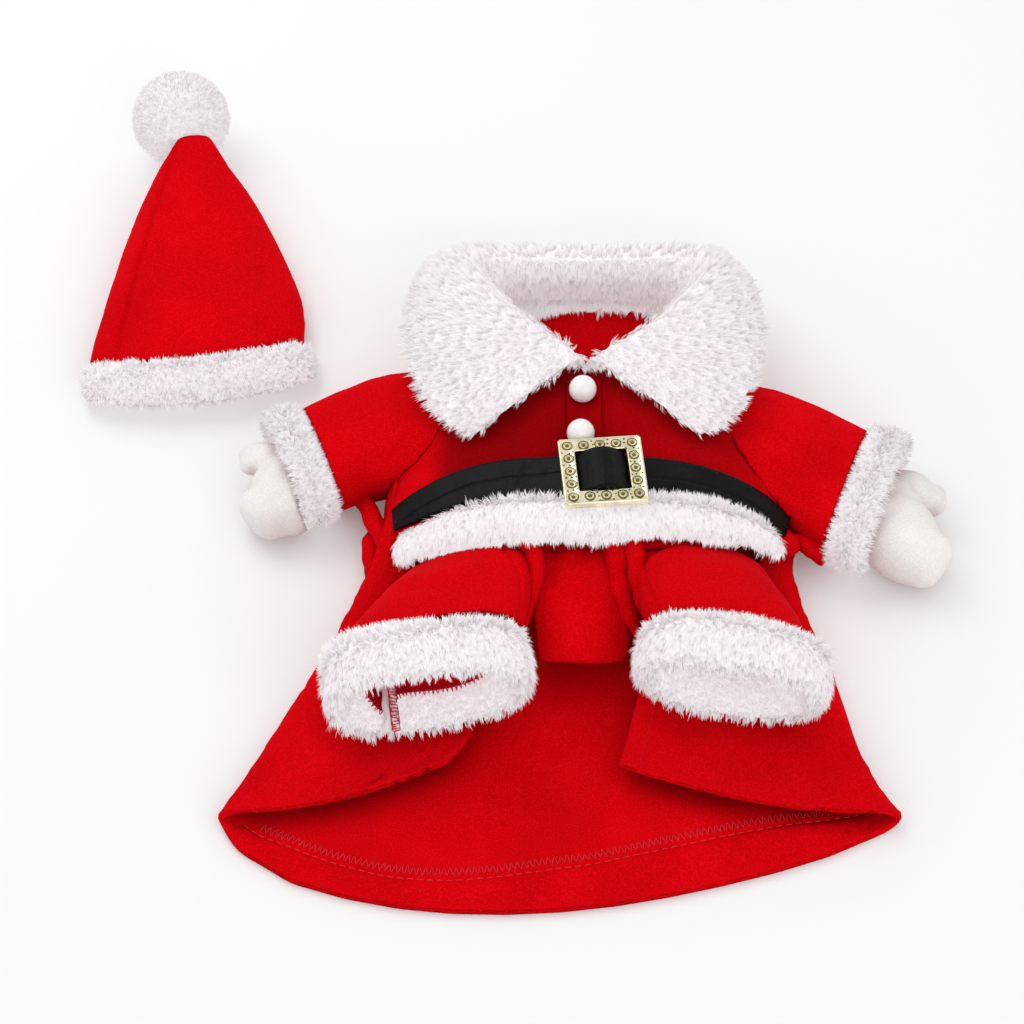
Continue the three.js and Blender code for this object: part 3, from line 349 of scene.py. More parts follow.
def walk(line, step):
    """Places at an even step along a line."""
    lengths = np.linalg.norm(np.diff(line, axis=0), axis=1)
    starts = np.concatenate(([0], np.cumsum(lengths)))
    marks = np.arange(0, starts[-1], step)
    return np.stack([np.interp(marks, starts, line[:, axis]) for axis in range(line.shape[1])], axis=1)


def turns_of(sides):
    """Angles at even steps round a circle."""
    return [2 * math.pi * side / sides for side in range(sides)]


def ease(values):
    """0 to 1 with soft ends."""
    inside = np.clip(values, 0, 1)
    return inside * inside * (3 - 2 * inside)


# Meshes

def add_object(name, mesh):
    piece = bpy.data.objects.new(name, mesh)
    bpy.context.scene.collection.objects.link(piece)
    return piece


def copy_node(node, name):
    """A new piece with the same mesh as a solid of the part."""
    mesh = nodes[node].data.copy()
    mesh.name = name
    mesh.materials.clear()
    form = bmesh.new()
    form.from_mesh(mesh)
    bmesh.ops.remove_doubles(form, verts=form.verts, dist=0.01 * MM)
    form.to_mesh(mesh)
    form.free()
    return add_object(name, mesh)


def mesh_from_corners(name, places, corners, sizes):
    """A mesh from places in millimetres, all faces' corners in one list, and each face's number of them."""
    mesh = bpy.data.meshes.new(name)
    mesh.vertices.add(len(places))
    mesh.vertices.foreach_set("co", (np.asarray(places, float) * MM).ravel())
    mesh.loops.add(len(corners))
    mesh.loops.foreach_set("vertex_index", np.asarray(corners, np.int32))
    mesh.polygons.add(len(sizes))
    starts = np.concatenate(([0], np.cumsum(sizes)[:-1]))
    mesh.polygons.foreach_set("loop_start", starts.astype(np.int32))
    mesh.update(calc_edges=True)
    mesh.validate()
    return mesh


def mesh_from_faces(name, places, faces):
    return mesh_from_corners(name, places, [corner for face in faces for corner in face],
                             [len(face) for face in faces])


def band_faces(start, following, size):
    """The faces between two rings of places, whose first places have these numbers."""
    faces = []
    for k in range(size):
        other = (k + 1) % size
        faces.append([start + k, start + other, following + other, following + k])
    return faces


def values_of(piece, kind):
    values = np.zeros(len(piece.data.vertices) * 3)
    piece.data.vertices.foreach_get(kind, values)
    return values.reshape(-1, 3)


def places_of(piece):
    return values_of(piece, "co") / MM


def normals_of(piece):
    return values_of(piece, "normal")


def set_places(piece, places):
    places[:, 2] = np.maximum(places[:, 2], 0)
    piece.data.vertices.foreach_set("co", (places * MM).ravel())
    piece.data.update()


def refine(piece, longest, lines=(), reach=0.0):
    """Split the edges that are longer than a limit, all of them or only those near some lines."""
    form = bmesh.new()
    form.from_mesh(piece.data)
    bmesh.ops.triangulate(form, faces=form.faces)
    for _ in range(SPLIT_ROUNDS):
        chosen = [edge for edge in form.edges if edge.calc_length() > longest * MM]
        if lines and chosen:
            middles = np.array([(edge.verts[0].co + edge.verts[1].co) / 2 for edge in chosen]) / MM
            near = np.min([distance_to_line(middles, line)[0] for line in lines], axis=0) < reach
            chosen = [edge for edge, close in zip(chosen, near)
                      if close and edge.verts[0].normal.z > UNDERSIDE]
        if not chosen:
            break
        bmesh.ops.subdivide_edges(form, edges=chosen, cuts=1)
        bmesh.ops.triangulate(form, faces=form.faces)
    form.to_mesh(piece.data)
    form.free()


def soften(piece, rounds, limit=SHARP):
    """Even out the facets. Sharp edges keep their line, which is evened out along itself."""
    form = bmesh.new()
    form.from_mesh(piece.data)
    form.verts.ensure_lookup_table()
    ends = np.array([[edge.verts[0].index, edge.verts[1].index] for edge in form.edges])
    sharp = np.array([edge.calc_face_angle(math.pi) > math.radians(limit) for edge in form.edges])
    form.free()
    places = places_of(piece)
    count = len(places)
    on_edge = np.bincount(ends[sharp].ravel(), minlength=count)
    use = np.where(on_edge[ends[:, 0]] + on_edge[ends[:, 1]] > 0, sharp, True)
    use |= ~sharp & ((on_edge[ends[:, 0]] == 0) | (on_edge[ends[:, 1]] == 0))
    start, end = ends[use].T
    edge_only = sharp[use]
    pulls = []
    for own, other in ((start, end), (end, start)):
        taken = (on_edge[own] == 0) | edge_only
        pulls.append((own[taken], other[taken]))
    free = ((on_edge == 0) | (on_edge == 2)).astype(float)[:, None]
    for step in SMOOTH_STEPS * rounds:
        total = np.zeros_like(places)
        shares = np.zeros(count)
        for own, other in pulls:
            np.add.at(total, own, places[other])
            np.add.at(shares, own, 1)
        middle = total / np.maximum(shares, 1)[:, None]
        places += (middle - places) * step * free * (shares > 0)[:, None]
    set_places(piece, places)


def press(piece, folds):
    """Raise or lower the cloth along lines in plan: (line, height, half width). Ends fade out."""
    places = places_of(piece)
    height = np.zeros(len(places))
    for line, rise, width in folds:
        gap, along = distance_to_line(places, curved(line))
        ends = ease(np.minimum(along, 1 - along) / FOLD_FADE)
        height += rise * np.exp(-(gap / width) ** 2) * ends
    places[:, 2] += height
    set_places(piece, places)


def groove(piece, lines, depth, width):
    """Press seams into the upper side of the cloth."""
    smooth_lines = [curved(line) for line in lines]
    refine(piece, SEAM_EDGE, smooth_lines, SEAM_REACH)
    places = places_of(piece)
    facing = ease((normals_of(piece)[:, 2] - 0.05) / 0.3)
    drop = np.zeros(len(places))
    for line in smooth_lines:
        gap, _ = distance_to_line(places, line)
        drop = np.maximum(drop, depth * np.exp(-(gap / width) ** 2))
    places -= normals_of(piece) * (drop * facing)[:, None]
    set_places(piece, places)


def ruffle(piece, size, amount, seed, keep_flat=0.0):
    """Slight uneven swelling of the cloth, the same on both of its sides. None up to a height kept flat."""
    places = places_of(piece)
    swell = np.array([noise.noise(Vector((x / size, y / size, seed))) for x, y, _ in places])
    rest = ease((places[:, 2] - keep_flat) / 4) if keep_flat > 0 else 1
    places[:, 2] += swell * amount * rest
    set_places(piece, places)


def soft_copy(node, name, edge, rounds, folds=(), limit=SHARP):
    """A solid of the part as a piece of finer mesh, with even facets and given folds."""
    piece = copy_node(node, name)
    refine(piece, edge)
    soften(piece, rounds, limit)
    press(piece, folds)
    return piece


def finish_mesh(piece, material, limit=SHARP):
    piece.data.polygons.foreach_set("use_smooth", [True] * len(piece.data.polygons))
    piece.data.set_sharp_from_angle(angle=math.radians(limit))
    piece.data.materials.append(material)
    return piece


def face_outwards(piece):
    form = bmesh.new()
    form.from_mesh(piece.data)
    bmesh.ops.recalc_face_normals(form, faces=form.faces)
    form.to_mesh(piece.data)
    form.free()


def rings_along(path, facing, radii):
    """Rings of places round a path, from a radius for each place and side."""
    along = unit(np.gradient(path, axis=0))
    across = unit(np.cross(along, facing))
    over = np.cross(across, along)
    turns = np.array(turns_of(radii.shape[1]))[:, None]
    out = across[:, None] * np.cos(turns) + over[:, None] * np.sin(turns)
    return path[:, None] + out * radii[..., None]


def tubes_mesh(name, tubes):
    """One mesh of closed tubes, each through its own rings of equal size. The end rings are filled."""
    places = np.concatenate([np.reshape(rings, (-1, 3)) for rings in tubes])
    faces = []
    first = 0
    for rings in tubes:
        size = len(rings[0])
        last = first + (len(rings) - 1) * size
        for start in range(first, last, size):
            faces += band_faces(start, start + size, size)
        faces += [range(first, first + size), range(last, last + size)[::-1]]
        first = last + size
    return mesh_from_faces(name, places, faces)


def ringed_piece(name, rings):
    """A closed piece through rings of equal size."""
    piece = add_object(name, tubes_mesh(name, [rings]))
    face_outwards(piece)
    return piece


def surface_tree(piece):
    """A search tree of a piece's faces, in millimetres."""
    faces = [list(face.vertices) for face in piece.data.polygons]
    return BVHTree.FromPolygons([Vector(place) for place in places_of(piece)], faces)


def on_top(tree, x, y, lift, ceiling):
    """The highest point of the surface over a place in plan and under a ceiling, lifted off it."""
    hit, normal, _, _ = tree.ray_cast(Vector((x, y, ceiling)), Vector((0, 0, -1)))
    if hit is None:
        return None
    return np.array(hit + normal * lift)


# Threads

def thread_piece(name, paths, radius, material):
    """One piece of many thin tubes, each along its own path and thinner at its ends."""
    tubes = []
    for path in paths:
        radii = np.full((len(path), THREAD_SIDES), radius)
        radii[[0, -1]] *= THREAD_END
        tubes.append(rings_along(np.array(path, float), (0.2, 0.1, 1), radii))
    return finish_mesh(add_object(name, tubes_mesh(name, tubes)), material, limit=80)


def laid_on(tree, rows, ceiling):
    """Paths of threads that lie on a surface, from rows of place in plan and lift off it."""
    paths = []
    for row in rows:
        path = [on_top(tree, x, y, lift, ceiling) for x, y, lift in row]
        path = [place for place in path if place is not None]
        if len(path) > 3:
            paths.append(path)
    return paths


def stitches(tree, line, length, gap, lift, ceiling=FAR_ABOVE):
    """Paths of a row of straight stitches that dive into the cloth at both ends."""
    places = walk(curved(line), STITCH_STEP)
    rows = []
    parts = max(3, round(length / STITCH_STEP))
    pitch = parts + max(1, round(gap / STITCH_STEP))
    for first in range(0, len(places) - parts, pitch):
        row = []
        for k in range(parts + 1):
            dip = STITCH_DIP * (abs(2 * k / parts - 1) ** 3)
            row.append((*places[first + k][:2], lift - dip))
        rows.append(row)
    return laid_on(tree, rows, ceiling)


def zigzag(tree, line, low, high, pitch, lift, seed, ceiling):
    """Paths of overlock thread that runs to and fro across a seam's edge."""
    rng = np.random.default_rng(seed)
    places = walk(curved(line), pitch)
    along = unit(np.gradient(places[:, :2], axis=0))
    across = np.stack((-along[:, 1], along[:, 0]), axis=1)
    rows = []
    for first in range(0, len(places) - 2, OVERLOCK_TURNS):
        row = []
        for k in range(first, min(first + OVERLOCK_TURNS + 1, len(places))):
            ends = (low, high) if k % 2 == 0 else (high, low)
            for step, reach in enumerate(np.linspace(*ends, 5)[:-1]):
                aside = reach + rng.normal(0, 0.1)
                ahead = pitch * step / 4 + rng.normal(0, 0.1)
                shift = across[k] * aside + along[k] * ahead
                row.append((*(places[k][:2] + shift), lift))
        rows.append(row)
    return laid_on(tree, rows, ceiling)


# Fur

def fur_core(form, name, inset):
    """The fur's backing: the solid's form, drawn in by part of the pile's depth."""
    core = add_object(name, form.data.copy())
    refine(core, BACKING_EDGE)
    soften(core, 6, BACKING_SHARP)
    places = places_of(core)
    normals = normals_of(core)
    inside = places - normals * inset
    inside[:, 2] = np.maximum(inside[:, 2], np.minimum(places[:, 2], 0.2))
    set_places(core, inside)
    return finish_mesh(core, fur_base, BACKING_SHARP)


def held_in(solid, tips, reach):
    """Blade tips bent back to the solid's surface where they stick out of it further than their reach."""
    tree = surface_tree(solid)
    held = tips.copy()
    for k, tip in enumerate(tips):
        near, normal, _, _ = tree.find_nearest(Vector(tip))
        out = (Vector(tip) - near).dot(normal) - reach[k]
        if out > 0:
            held[k] -= np.array(normal) * out
    return held


def scatter(piece, count, rng):
    """Places all over a piece and the normals there, fewer on its underside."""
    places = places_of(piece)
    normals = normals_of(piece)
    piece.data.calc_loop_triangles()
    corners = np.zeros(len(piece.data.loop_triangles) * 3, np.int32)
    piece.data.loop_triangles.foreach_get("vertices", corners)
    corners = corners.reshape(-1, 3)
    a, b, c = (places[corners[:, k]] for k in range(3))
    cross = np.cross(b - a, c - a)
    weight = np.linalg.norm(cross, axis=1) * np.where(unit(cross)[:, 2] < -0.3, HIDDEN_SHARE, 1)
    chosen = corners[rng.choice(len(corners), count, p=weight / weight.sum())]
    u = np.sqrt(rng.random(count))[:, None]
    v = rng.random(count)[:, None]
    centre, normal = (values[chosen[:, 0]] * (1 - u) + values[chosen[:, 1]] * u * (1 - v)
                      + values[chosen[:, 2]] * u * v for values in (places, normals))
    return centre, unit(normal)


def grow_fur(name, solid, core, blades, flow, seed, length, width, tuft, spread, rise, wild, gather,
             trim=None, painted_pale=0.0):
    """Tapered blades on the core, gathered in pointed tufts that lean with the flow. Trim shortens some."""
    rng = np.random.default_rng(seed)
    tufts = blades // tuft
    centre, normal = scatter(core, tufts, rng)
    direction = unit(normal * rise + flow(centre, normal) + rng.normal(0, wild, (tufts, 3)))
    into = np.minimum(np.sum(direction * normal, axis=1) - FLATTEST, 0)[:, None]
    direction = unit(direction - normal * into)
    tuft_size = rng.uniform(*TUFT_SIZES, tufts)
    if trim:
        tuft_size *= trim(centre, normal)
    shade = rng.uniform(0, 1, tufts)

    centre, normal, direction = (np.repeat(item, tuft, axis=0) for item in (centre, normal, direction))
    size = (np.repeat(tuft_size, tuft) * rng.uniform(*BLADE_SIZES, len(centre)) * length)[:, None]
    first_side = unit(np.cross(normal, (0.31, 0.52, 0.79)))
    second_side = np.cross(normal, first_side)
    turn = rng.uniform(0, 2 * math.pi, len(centre))[:, None]
    reach = spread * np.sqrt(rng.random(len(centre)))[:, None]
    shift = (first_side * np.cos(turn) + second_side * np.sin(turn)) * reach
    root = centre + shift - normal * ROOT_DEPTH
    tip = centre + shift * (1 - gather) + direction * size + rng.normal(0, TIP_SCATTER, shift.shape)
    tip = held_in(solid, tip, rng.uniform(*TIP_REACH, len(tip)))
    bend = root * 0.5 + tip * 0.5 + normal * size * BLADE_BOW
    side = unit(np.cross(direction, normal + rng.normal(0, BLADE_TWIST, normal.shape))) * width / 2
    tone = np.repeat(shade, tuft) * TUFT_TONE + rng.uniform(0, 1 - TUFT_TONE, len(root))
    # painted light: a pile given a lift is drawn lighter in tone, and its root less dark
    return blade_piece(name, root, bend, tip, side, normal, direction, painted_pale + (1 - painted_pale) * tone, painted_pale)


def blade_piece(name, root, bend, tip, side, normal, direction, shade, painted_pale=0.0):
    """One mesh of many blades from root over bend to tip. Its normals follow the cloth below them."""
    side *= np.where(np.sum(np.cross(side, direction) * normal, axis=1) < 0, -1, 1)[:, None]
    blade = np.stack((root - side, root + side, bend + side * 0.85, bend - side * 0.85, tip), axis=1)
    blade[..., 2] = np.maximum(blade[..., 2], 0.15)
    count = len(blade)
    base = (np.arange(count) * 5)[:, None]
    corners = (base + np.array([0, 1, 2, 3, 3, 2, 4])).ravel()
    sizes = np.tile([4, 3], count)
    mesh = mesh_from_corners(name, blade.reshape(-1, 3), corners, sizes)
    pile = mesh.color_attributes.new("pile", "FLOAT_COLOR", "POINT")
    # painted shade: each blade is drawn darker at its root than at its tip, less so when lifted
    level = np.tile([painted_pale, painted_pale, 0.6 + 0.4 * painted_pale, 0.6 + 0.4 * painted_pale, 1.0], count)
    tone = np.repeat(shade, 5)
    colours = np.stack((level, tone, np.zeros(len(level)), np.ones(len(level))), axis=1)
    pile.data.foreach_set("color", colours.ravel())
    flat = unit(np.cross(side, direction))
    soft = unit(normal * 0.85 + flat * 0.15)
    tip_normal = unit(normal * 0.75 + direction * 0.25)
    normals = np.repeat(soft[:, None, :], 5, axis=1)
    normals[:, 4] = tip_normal
    mesh.polygons.foreach_set("use_smooth", [True] * len(mesh.polygons))
    mesh.normals_split_custom_set_from_vertices(normals.reshape(-1, 3).tolist())
    mesh.materials.append(fur_pile)
    return add_object(name, mesh)


def neck_fringe():
    """Pile along the collar's inner lower edge that hangs over the red neck, longest at its left end."""
    rng = np.random.default_rng(15)
    count = FRINGE_BLADES
    columns, lengths = zip(*FRINGE_LENGTHS)
    across = rng.uniform(columns[0], columns[-1], count)
    reach = np.interp(across, columns, lengths)
    reach *= rng.uniform(0.6, 1.05, count)
    root = np.stack((across, 90.5 + rng.uniform(0, 2.5, count), 10.5 + rng.uniform(0, 3.5, count)), axis=1)
    tip = root + np.stack((rng.normal(0, 0.9, count), -reach, -rng.uniform(1.0, 2.6, count)), axis=1)
    tip[:, 2] = np.maximum(tip[:, 2], 8.4)
    normal = np.tile(unit(np.array([0.0, -0.9, 0.4])), (count, 1))
    direction = unit(tip - root)
    bend = (root + tip) / 2 + normal * 0.7
    side = unit(np.cross(direction, normal)) * 0.24
    return blade_piece("neck_fringe", root, bend, tip, side, normal, direction, rng.uniform(0, 1, count))


# Materials

def set_inputs(material, node, inputs):
    """Set a node's inputs, each to a value or to another node's output."""
    for name, value in inputs.items():
        if hasattr(value, "is_linked"):
            material.node_tree.links.new(value, node.inputs[name])
        else:
            node.inputs[name].default_value = value


def add_node(material, kind, inputs):
    node = material.node_tree.nodes.new(kind)
    set_inputs(material, node, inputs)
    return node


def grey(level):
    return (level, level, level)


def new_material(name, colour, roughness):
    material = bpy.data.materials.new(name)
    material.use_nodes = True
    shader = material.node_tree.nodes["Principled BSDF"]
    set_inputs(material, shader, {"Base Color": (*colour, 1), "Roughness": roughness})
    return material, shader


def noise_at(material, scale, detail, stretch=(1, 1, 1)):
    """A noise of the object's own places. Scale is features per metre."""
    place = add_node(material, "ShaderNodeTexCoord", {})
    mapping = add_node(material, "ShaderNodeMapping", {"Scale": stretch, "Vector": place.outputs["Object"]})
    cloud = add_node(material, "ShaderNodeTexNoise", {
        "Scale": scale, "Detail": detail, "Vector": mapping.outputs["Vector"]})
    return cloud.outputs["Fac"]


def ramp(material, value, stops):
    """A colour for a value, from stops of (place, colour)."""
    node = add_node(material, "ShaderNodeValToRGB", {"Fac": value})
    elements = node.color_ramp.elements
    while len(elements) < len(stops):
        elements.new(0.5)
    for element, (place, colour) in zip(elements, stops):
        element.position = place
        element.color = (*colour, 1)
    return node.outputs["Color"]


def multiply(material, first, second):
    """The product of two colours. The mixing node takes its amount as input 0, its colours as 6 and 7."""
    node = material.node_tree.nodes.new("ShaderNodeMix")
    node.data_type = "RGBA"
    node.blend_type = "MULTIPLY"
    set_inputs(material, node, {0: 1.0, 6: first, 7: second})
    return node.outputs[2]


def bump(material, shader, layers):
    """Height from several noises, each (value, strength, depth in millimetres)."""
    before = {}
    for value, strength, depth in layers:
        node = add_node(material, "ShaderNodeBump", {
            "Strength": strength, "Distance": depth * MM, "Height": value, **before})
        before = {"Normal": node.outputs["Normal"]}
    set_inputs(material, shader, before)


def painted_crease_shade(material, colour):
    """The colour deepened with painted shade in hollows and under edges, where shade falls."""
    node = add_node(material, "ShaderNodeAmbientOcclusion", {"Distance": PAINTED_SHADE_REACH * MM})
    node.samples = 6
    depth = ramp(material, node.outputs["AO"], [(0.25, (0.62, 0.5, 0.5)), (0.85, (1, 1, 1))])
    return multiply(material, colour, depth)


def painted_shade_across(material, colour, painted_shades):
    """The colour made darker with painted shade across the part: (place across the part in millimetres,
    share).
    """
    first, last = painted_shades[0][0], painted_shades[-1][0]
    place = add_node(material, "ShaderNodeTexCoord", {})
    parts = add_node(material, "ShaderNodeSeparateXYZ", {"Vector": place.outputs["Object"]})
    span = add_node(material, "ShaderNodeMapRange", {
        "From Min": first * MM, "From Max": last * MM, "Value": parts.outputs["X"]})
    stops = [((across - first) / (last - first), grey(share)) for across, share in painted_shades]
    return multiply(material, colour, ramp(material, span.outputs["Result"], stops))


def felt_material(name, dark, middle, light, sheen, sheen_tint, painted_shades=()):
    """Brushed felt: matted fibres, a soft nap that catches light, patches of slightly other colour, painted
    shade in hollows and under edges, and painted shade across the part where given.
    """
    material, shader = new_material(name, middle, 0.92)
    fibres = noise_at(material, scale=1500, detail=5)
    strands = noise_at(material, scale=700, detail=3, stretch=(1, 0.35, 1))
    patches = noise_at(material, scale=28, detail=3)
    grain = ramp(material, fibres, [(0.3, dark), (0.52, middle), (0.72, light)])
    worn = ramp(material, patches, [(0.3, grey(0.86)), (0.7, grey(1.06))])
    # painted shade: the felt's colour deepened in hollows and under edges
    colour = painted_crease_shade(material, multiply(material, grain, worn))
    # painted shade across the part, where it is given
    if painted_shades:
        colour = painted_shade_across(material, colour, painted_shades)
    set_inputs(material, shader, {
        "Base Color": colour,
        "Roughness": ramp(material, strands, [(0.2, grey(0.82)), (0.8, grey(1))]),
        "Specular IOR Level": 0.02,
        "Sheen Weight": sheen,
        "Sheen Roughness": 0.35,
        "Sheen Tint": (*sheen_tint, 1),
    })
    bump(material, shader, [(strands, 0.35, 0.5), (fibres, 0.5, 0.35)])
    return material


def painted_glow(colour):
    """Inputs for white pile with a painted glow, emission that stands in for the light it passes on from hair
    to hair.
    """
    return {"Base Color": colour, "Emission Color": colour, "Emission Strength": FUR_PAINTED_GLOW}


def fur_base_material():
    """The pile's shaded depth between the tufts."""
    material, shader = new_material("fur_base", (0.9, 0.88, 0.9), 0.9)
    hairs = noise_at(material, scale=700, detail=4, stretch=(1, 0.4, 1))
    colour = ramp(material, hairs, [(0.35, (0.6, 0.56, 0.575)), (0.65, (0.74, 0.715, 0.725))])
    # painted glow: emission on the backing
    set_inputs(material, shader, painted_glow(colour))
    bump(material, shader, [(hairs, 0.8, 1.0)])
    return material


def fur_pile_material():
    """White pile with painted shade: a little darker and cooler towards its root, where the pile shades
    itself.
    """
    material, shader = new_material("fur_pile", (0.94, 0.93, 0.94), 0.6)
    pile = add_node(material, "ShaderNodeAttribute", {})
    pile.attribute_name = "pile"
    parts = add_node(material, "ShaderNodeSeparateColor", {"Color": pile.outputs["Color"]})
    # painted shade: the pile's colour from root to tip, darker and cooler at the root
    along = ramp(material, parts.outputs["Red"], [
        (0, (0.5, 0.455, 0.475)), (0.5, (0.67, 0.64, 0.653)), (1, (0.78, 0.765, 0.772))])
    tone = ramp(material, parts.outputs["Green"], [(0, (0.84, 0.825, 0.835)), (1, (1, 1, 1))])
    # painted glow: emission on the pile
    set_inputs(material, shader, painted_glow(multiply(material, along, tone)))
    set_inputs(material, shader, {"Specular IOR Level": 0.2, "Sheen Weight": 0.2, "Sheen Roughness": 0.5})
    return material


def leather_material():
    """Black faux leather with a fine pebbled grain and wear that lightens it."""
    material, shader = new_material("belt_leather", (0.012, 0.012, 0.014), 0.4)
    grain = noise_at(material, scale=1500, detail=3)
    wear = noise_at(material, scale=90, detail=4)
    crumple = noise_at(material, scale=260, detail=3, stretch=(1, 0.45, 1))
    set_inputs(material, shader, {
        "Base Color": ramp(material, wear, [(0.35, (0.002, 0.002, 0.003)), (0.7, (0.006, 0.0055, 0.006))]),
        "Roughness": ramp(material, wear, [(0.3, grey(0.26)), (0.7, grey(0.45))]),
        "Specular IOR Level": 0.11,
    })
    bump(material, shader, [(wear, 0.5, 1.4), (crumple, 0.8, 0.7), (grain, 0.8, 0.2)])
    return material


def gold_material(name, colour, roughness):
    """Gilded plastic with small casting marks."""
    material, shader = new_material(name, colour, roughness)
    marks = noise_at(material, scale=600, detail=4)
    tone = noise_at(material, scale=220, detail=2)
    dark = tuple(part * 0.72 for part in colour)
    set_inputs(material, shader, {
        "Metallic": 1.0,
        "Base Color": ramp(material, tone, [(0.3, dark), (0.65, colour)]),
        "Roughness": ramp(material, marks, [(0.3, grey(roughness * 0.7)), (0.7, grey(roughness * 1.5))]),
    })
    bump(material, shader, [(marks, 0.35, 0.15)])
    return material


def button_material():
    """Glossy cream plastic with slight swirls in it."""
    material, shader = new_material("button_plastic", (0.93, 0.9, 0.89), 0.16)
    swirl = noise_at(material, scale=260, detail=3)
    set_inputs(material, shader, {
        "Base Color": ramp(material, swirl, [(0.3, (0.9, 0.86, 0.855)), (0.7, (0.96, 0.945, 0.94))]),
        "Coat Weight": 0.5,
        "Coat Roughness": 0.05,
    })
    bump(material, shader, [(noise_at(material, scale=120, detail=2), 0.08, 0.2)])
    return material


def thread_material(name, colour):
    """Twisted sewing thread."""
    material, shader = new_material(name, colour, 0.7)
    twist = noise_at(material, scale=2600, detail=2, stretch=(1, 1, 0.4))
    dark = tuple(part * 0.75 for part in colour)
    set_inputs(material, shader, {
        "Base Color": ramp(material, twist, [(0.3, dark), (0.7, colour)]),
        "Specular IOR Level": 0.1,
    })
    bump(material, shader, [(twist, 0.5, 0.1)])
    return material


# Pieces of red felt

def make_hat_cloth():
    piece = soft_copy("hat_cone", "hat_cloth", edge=CLOTH_EDGE, rounds=8, folds=HAT_FOLDS)
    ruffle(piece, size=17, amount=0.8, seed=3.1, keep_flat=3)
    groove(piece, [HAT_SEAM], depth=1.1, width=1.1)
    press(piece, [([(x + aside, y) for x, y in HAT_SEAM], *SEAM_SWELL) for aside in SEAM_SIDES])
    return finish_mesh(piece, felt_red)


def make_chest_cloth():
    piece = soft_copy("chest_front", "chest_cloth", edge=CLOTH_EDGE, rounds=6, folds=CHEST_FOLDS)
    ruffle(piece, size=15, amount=0.5, seed=5.7)
    return finish_mesh(piece, felt_chest_painted_shade)


def make_back_cloth():
    piece = soft_copy("back_panel", "back_cloth", edge=CLOTH_EDGE + 0.6, rounds=6, folds=BACK_FOLDS)
    raise_hem(piece)
    roll_edges(piece)
    groove(piece, [HEM_STITCH, FLAP_SEAM_RIGHT, FLAP_SEAM_LEFT], depth=0.5, width=0.8)
    ruffle(piece, size=14, amount=0.45, seed=8.2, keep_flat=2.5)
    return finish_mesh(piece, felt_red)


def raise_hem(piece):
    """The skirt's turned hem is two layers thick as far as its stitches."""
    places = places_of(piece)
    line = curved(HEM_STITCH)
    gap, along = distance_to_line(places, line)
    inner = np.interp(places[:, 0], line[:, 0], line[:, 1])
    below = (places[:, 1] < inner) & (places[:, 2] > 1) & (places[:, 2] < 4) & (along > 0) & (along < 1)
    places[below, 2] += HEM_RAISE * ease(gap[below] / 2.2)
    set_places(piece, places)


def roll_edges(piece):
    """Hems turned over twice: the cloth's edges are rounded and swell for a few millimetres."""
    form = bmesh.new()
    form.from_mesh(piece.data)
    form.normal_update()
    limit = math.radians(SHARP)
    sharp = [edge for edge in form.edges if len(edge.link_faces) == 2 and edge.calc_face_angle() > limit]
    rims = np.array([vert.co for edge in sharp for vert in edge.verts]) / MM
    bmesh.ops.bevel(form, geom=sharp, offset=0.8 * MM, segments=2, profile=0.6, affect="EDGES")
    form.to_mesh(piece.data)
    form.free()
    places = places_of(piece)
    tree = KDTree(len(rims))
    for k, rim in enumerate(rims):
        tree.insert(Vector(rim), k)
    tree.balance()
    gap = np.array([tree.find(Vector(place))[2] for place in places])
    swell = HEM_SWELL * ease(1 - gap / HEM_ROLL) * np.where(gap < 1.2, 0.6, 1)
    set_places(piece, places + normals_of(piece) * swell[:, None])


def make_belly_cloth():
    piece = soft_copy("belly_panel", "belly_cloth", edge=2.2, rounds=6, folds=BELLY_FOLDS)
    spread_foot(piece)
    ruffle(piece, size=11, amount=0.5, seed=2.2)
    return finish_mesh(piece, felt_red)


def spread_foot(piece):
    """The belly's lower end, drawn wide by the legs on both sides of it."""
    places = places_of(piece)
    wide = np.interp(places[:, 1], *zip(*BELLY_WIDTHS))
    places[:, 0] = BELLY_MIDDLE + (places[:, 0] - BELLY_MIDDLE) * wide
    places[:, 1] -= 2.2 * ease((-98 - places[:, 1]) / 14)
    set_places(piece, places)


def make_felt_roll(name, rows, seed):
    """Cloth that is bunched into a soft roll: rows of place and radius."""
    line = curved(rows, 5)
    creases = np.array([[noise.noise(Vector((k * 0.35, turn * 0.8, seed))) * 0.9 for turn in turns_of(16)]
                        for k in range(len(line))])
    piece = ringed_piece(name, rings_along(line[:, :3], (0, 0, 1), line[:, 3:] + creases))
    set_places(piece, places_of(piece))
    return finish_mesh(piece, felt_red, limit=70)


def make_leg_cloth(node, folds, seam, seed):
    piece = soft_copy(node, f"{node}_cloth", edge=2.9, rounds=8, folds=folds)
    groove(piece, [seam], depth=0.9, width=1.0)
    ruffle(piece, size=12, amount=0.7, seed=seed)
    return finish_mesh(piece, felt_red)


def make_sleeve_cloth(node, folds, seed):
    piece = soft_copy(node, f"{node}_cloth", edge=2.4, rounds=8, folds=folds)
    ruffle(piece, size=12, amount=0.6, seed=seed, keep_flat=3)
    return finish_mesh(piece, felt_red)


def make_placket_cloth():
    piece = soft_copy("placket", "placket_cloth", edge=1.6, rounds=3)
    ruffle(piece, size=8, amount=0.25, seed=1.4)
    return finish_mesh(piece, felt_chest_painted_shade)


def make_mitten(node, folds, seed):
    piece = soft_copy(node, f"{node}_felt", edge=2.2, rounds=10, folds=folds, limit=80)
    ruffle(piece, size=10, amount=0.6, seed=seed, keep_flat=3)
    return finish_mesh(piece, felt_mitten)


# Belt, loop, buckle and buttons

def make_belt():
    piece = soft_copy("belt", "belt_strap", edge=2.2, rounds=5)
    groove(piece, [BELT_GROOVE], depth=0.55, width=0.55)
    press(piece, BELT_FOLDS)
    return finish_mesh(piece, leather)


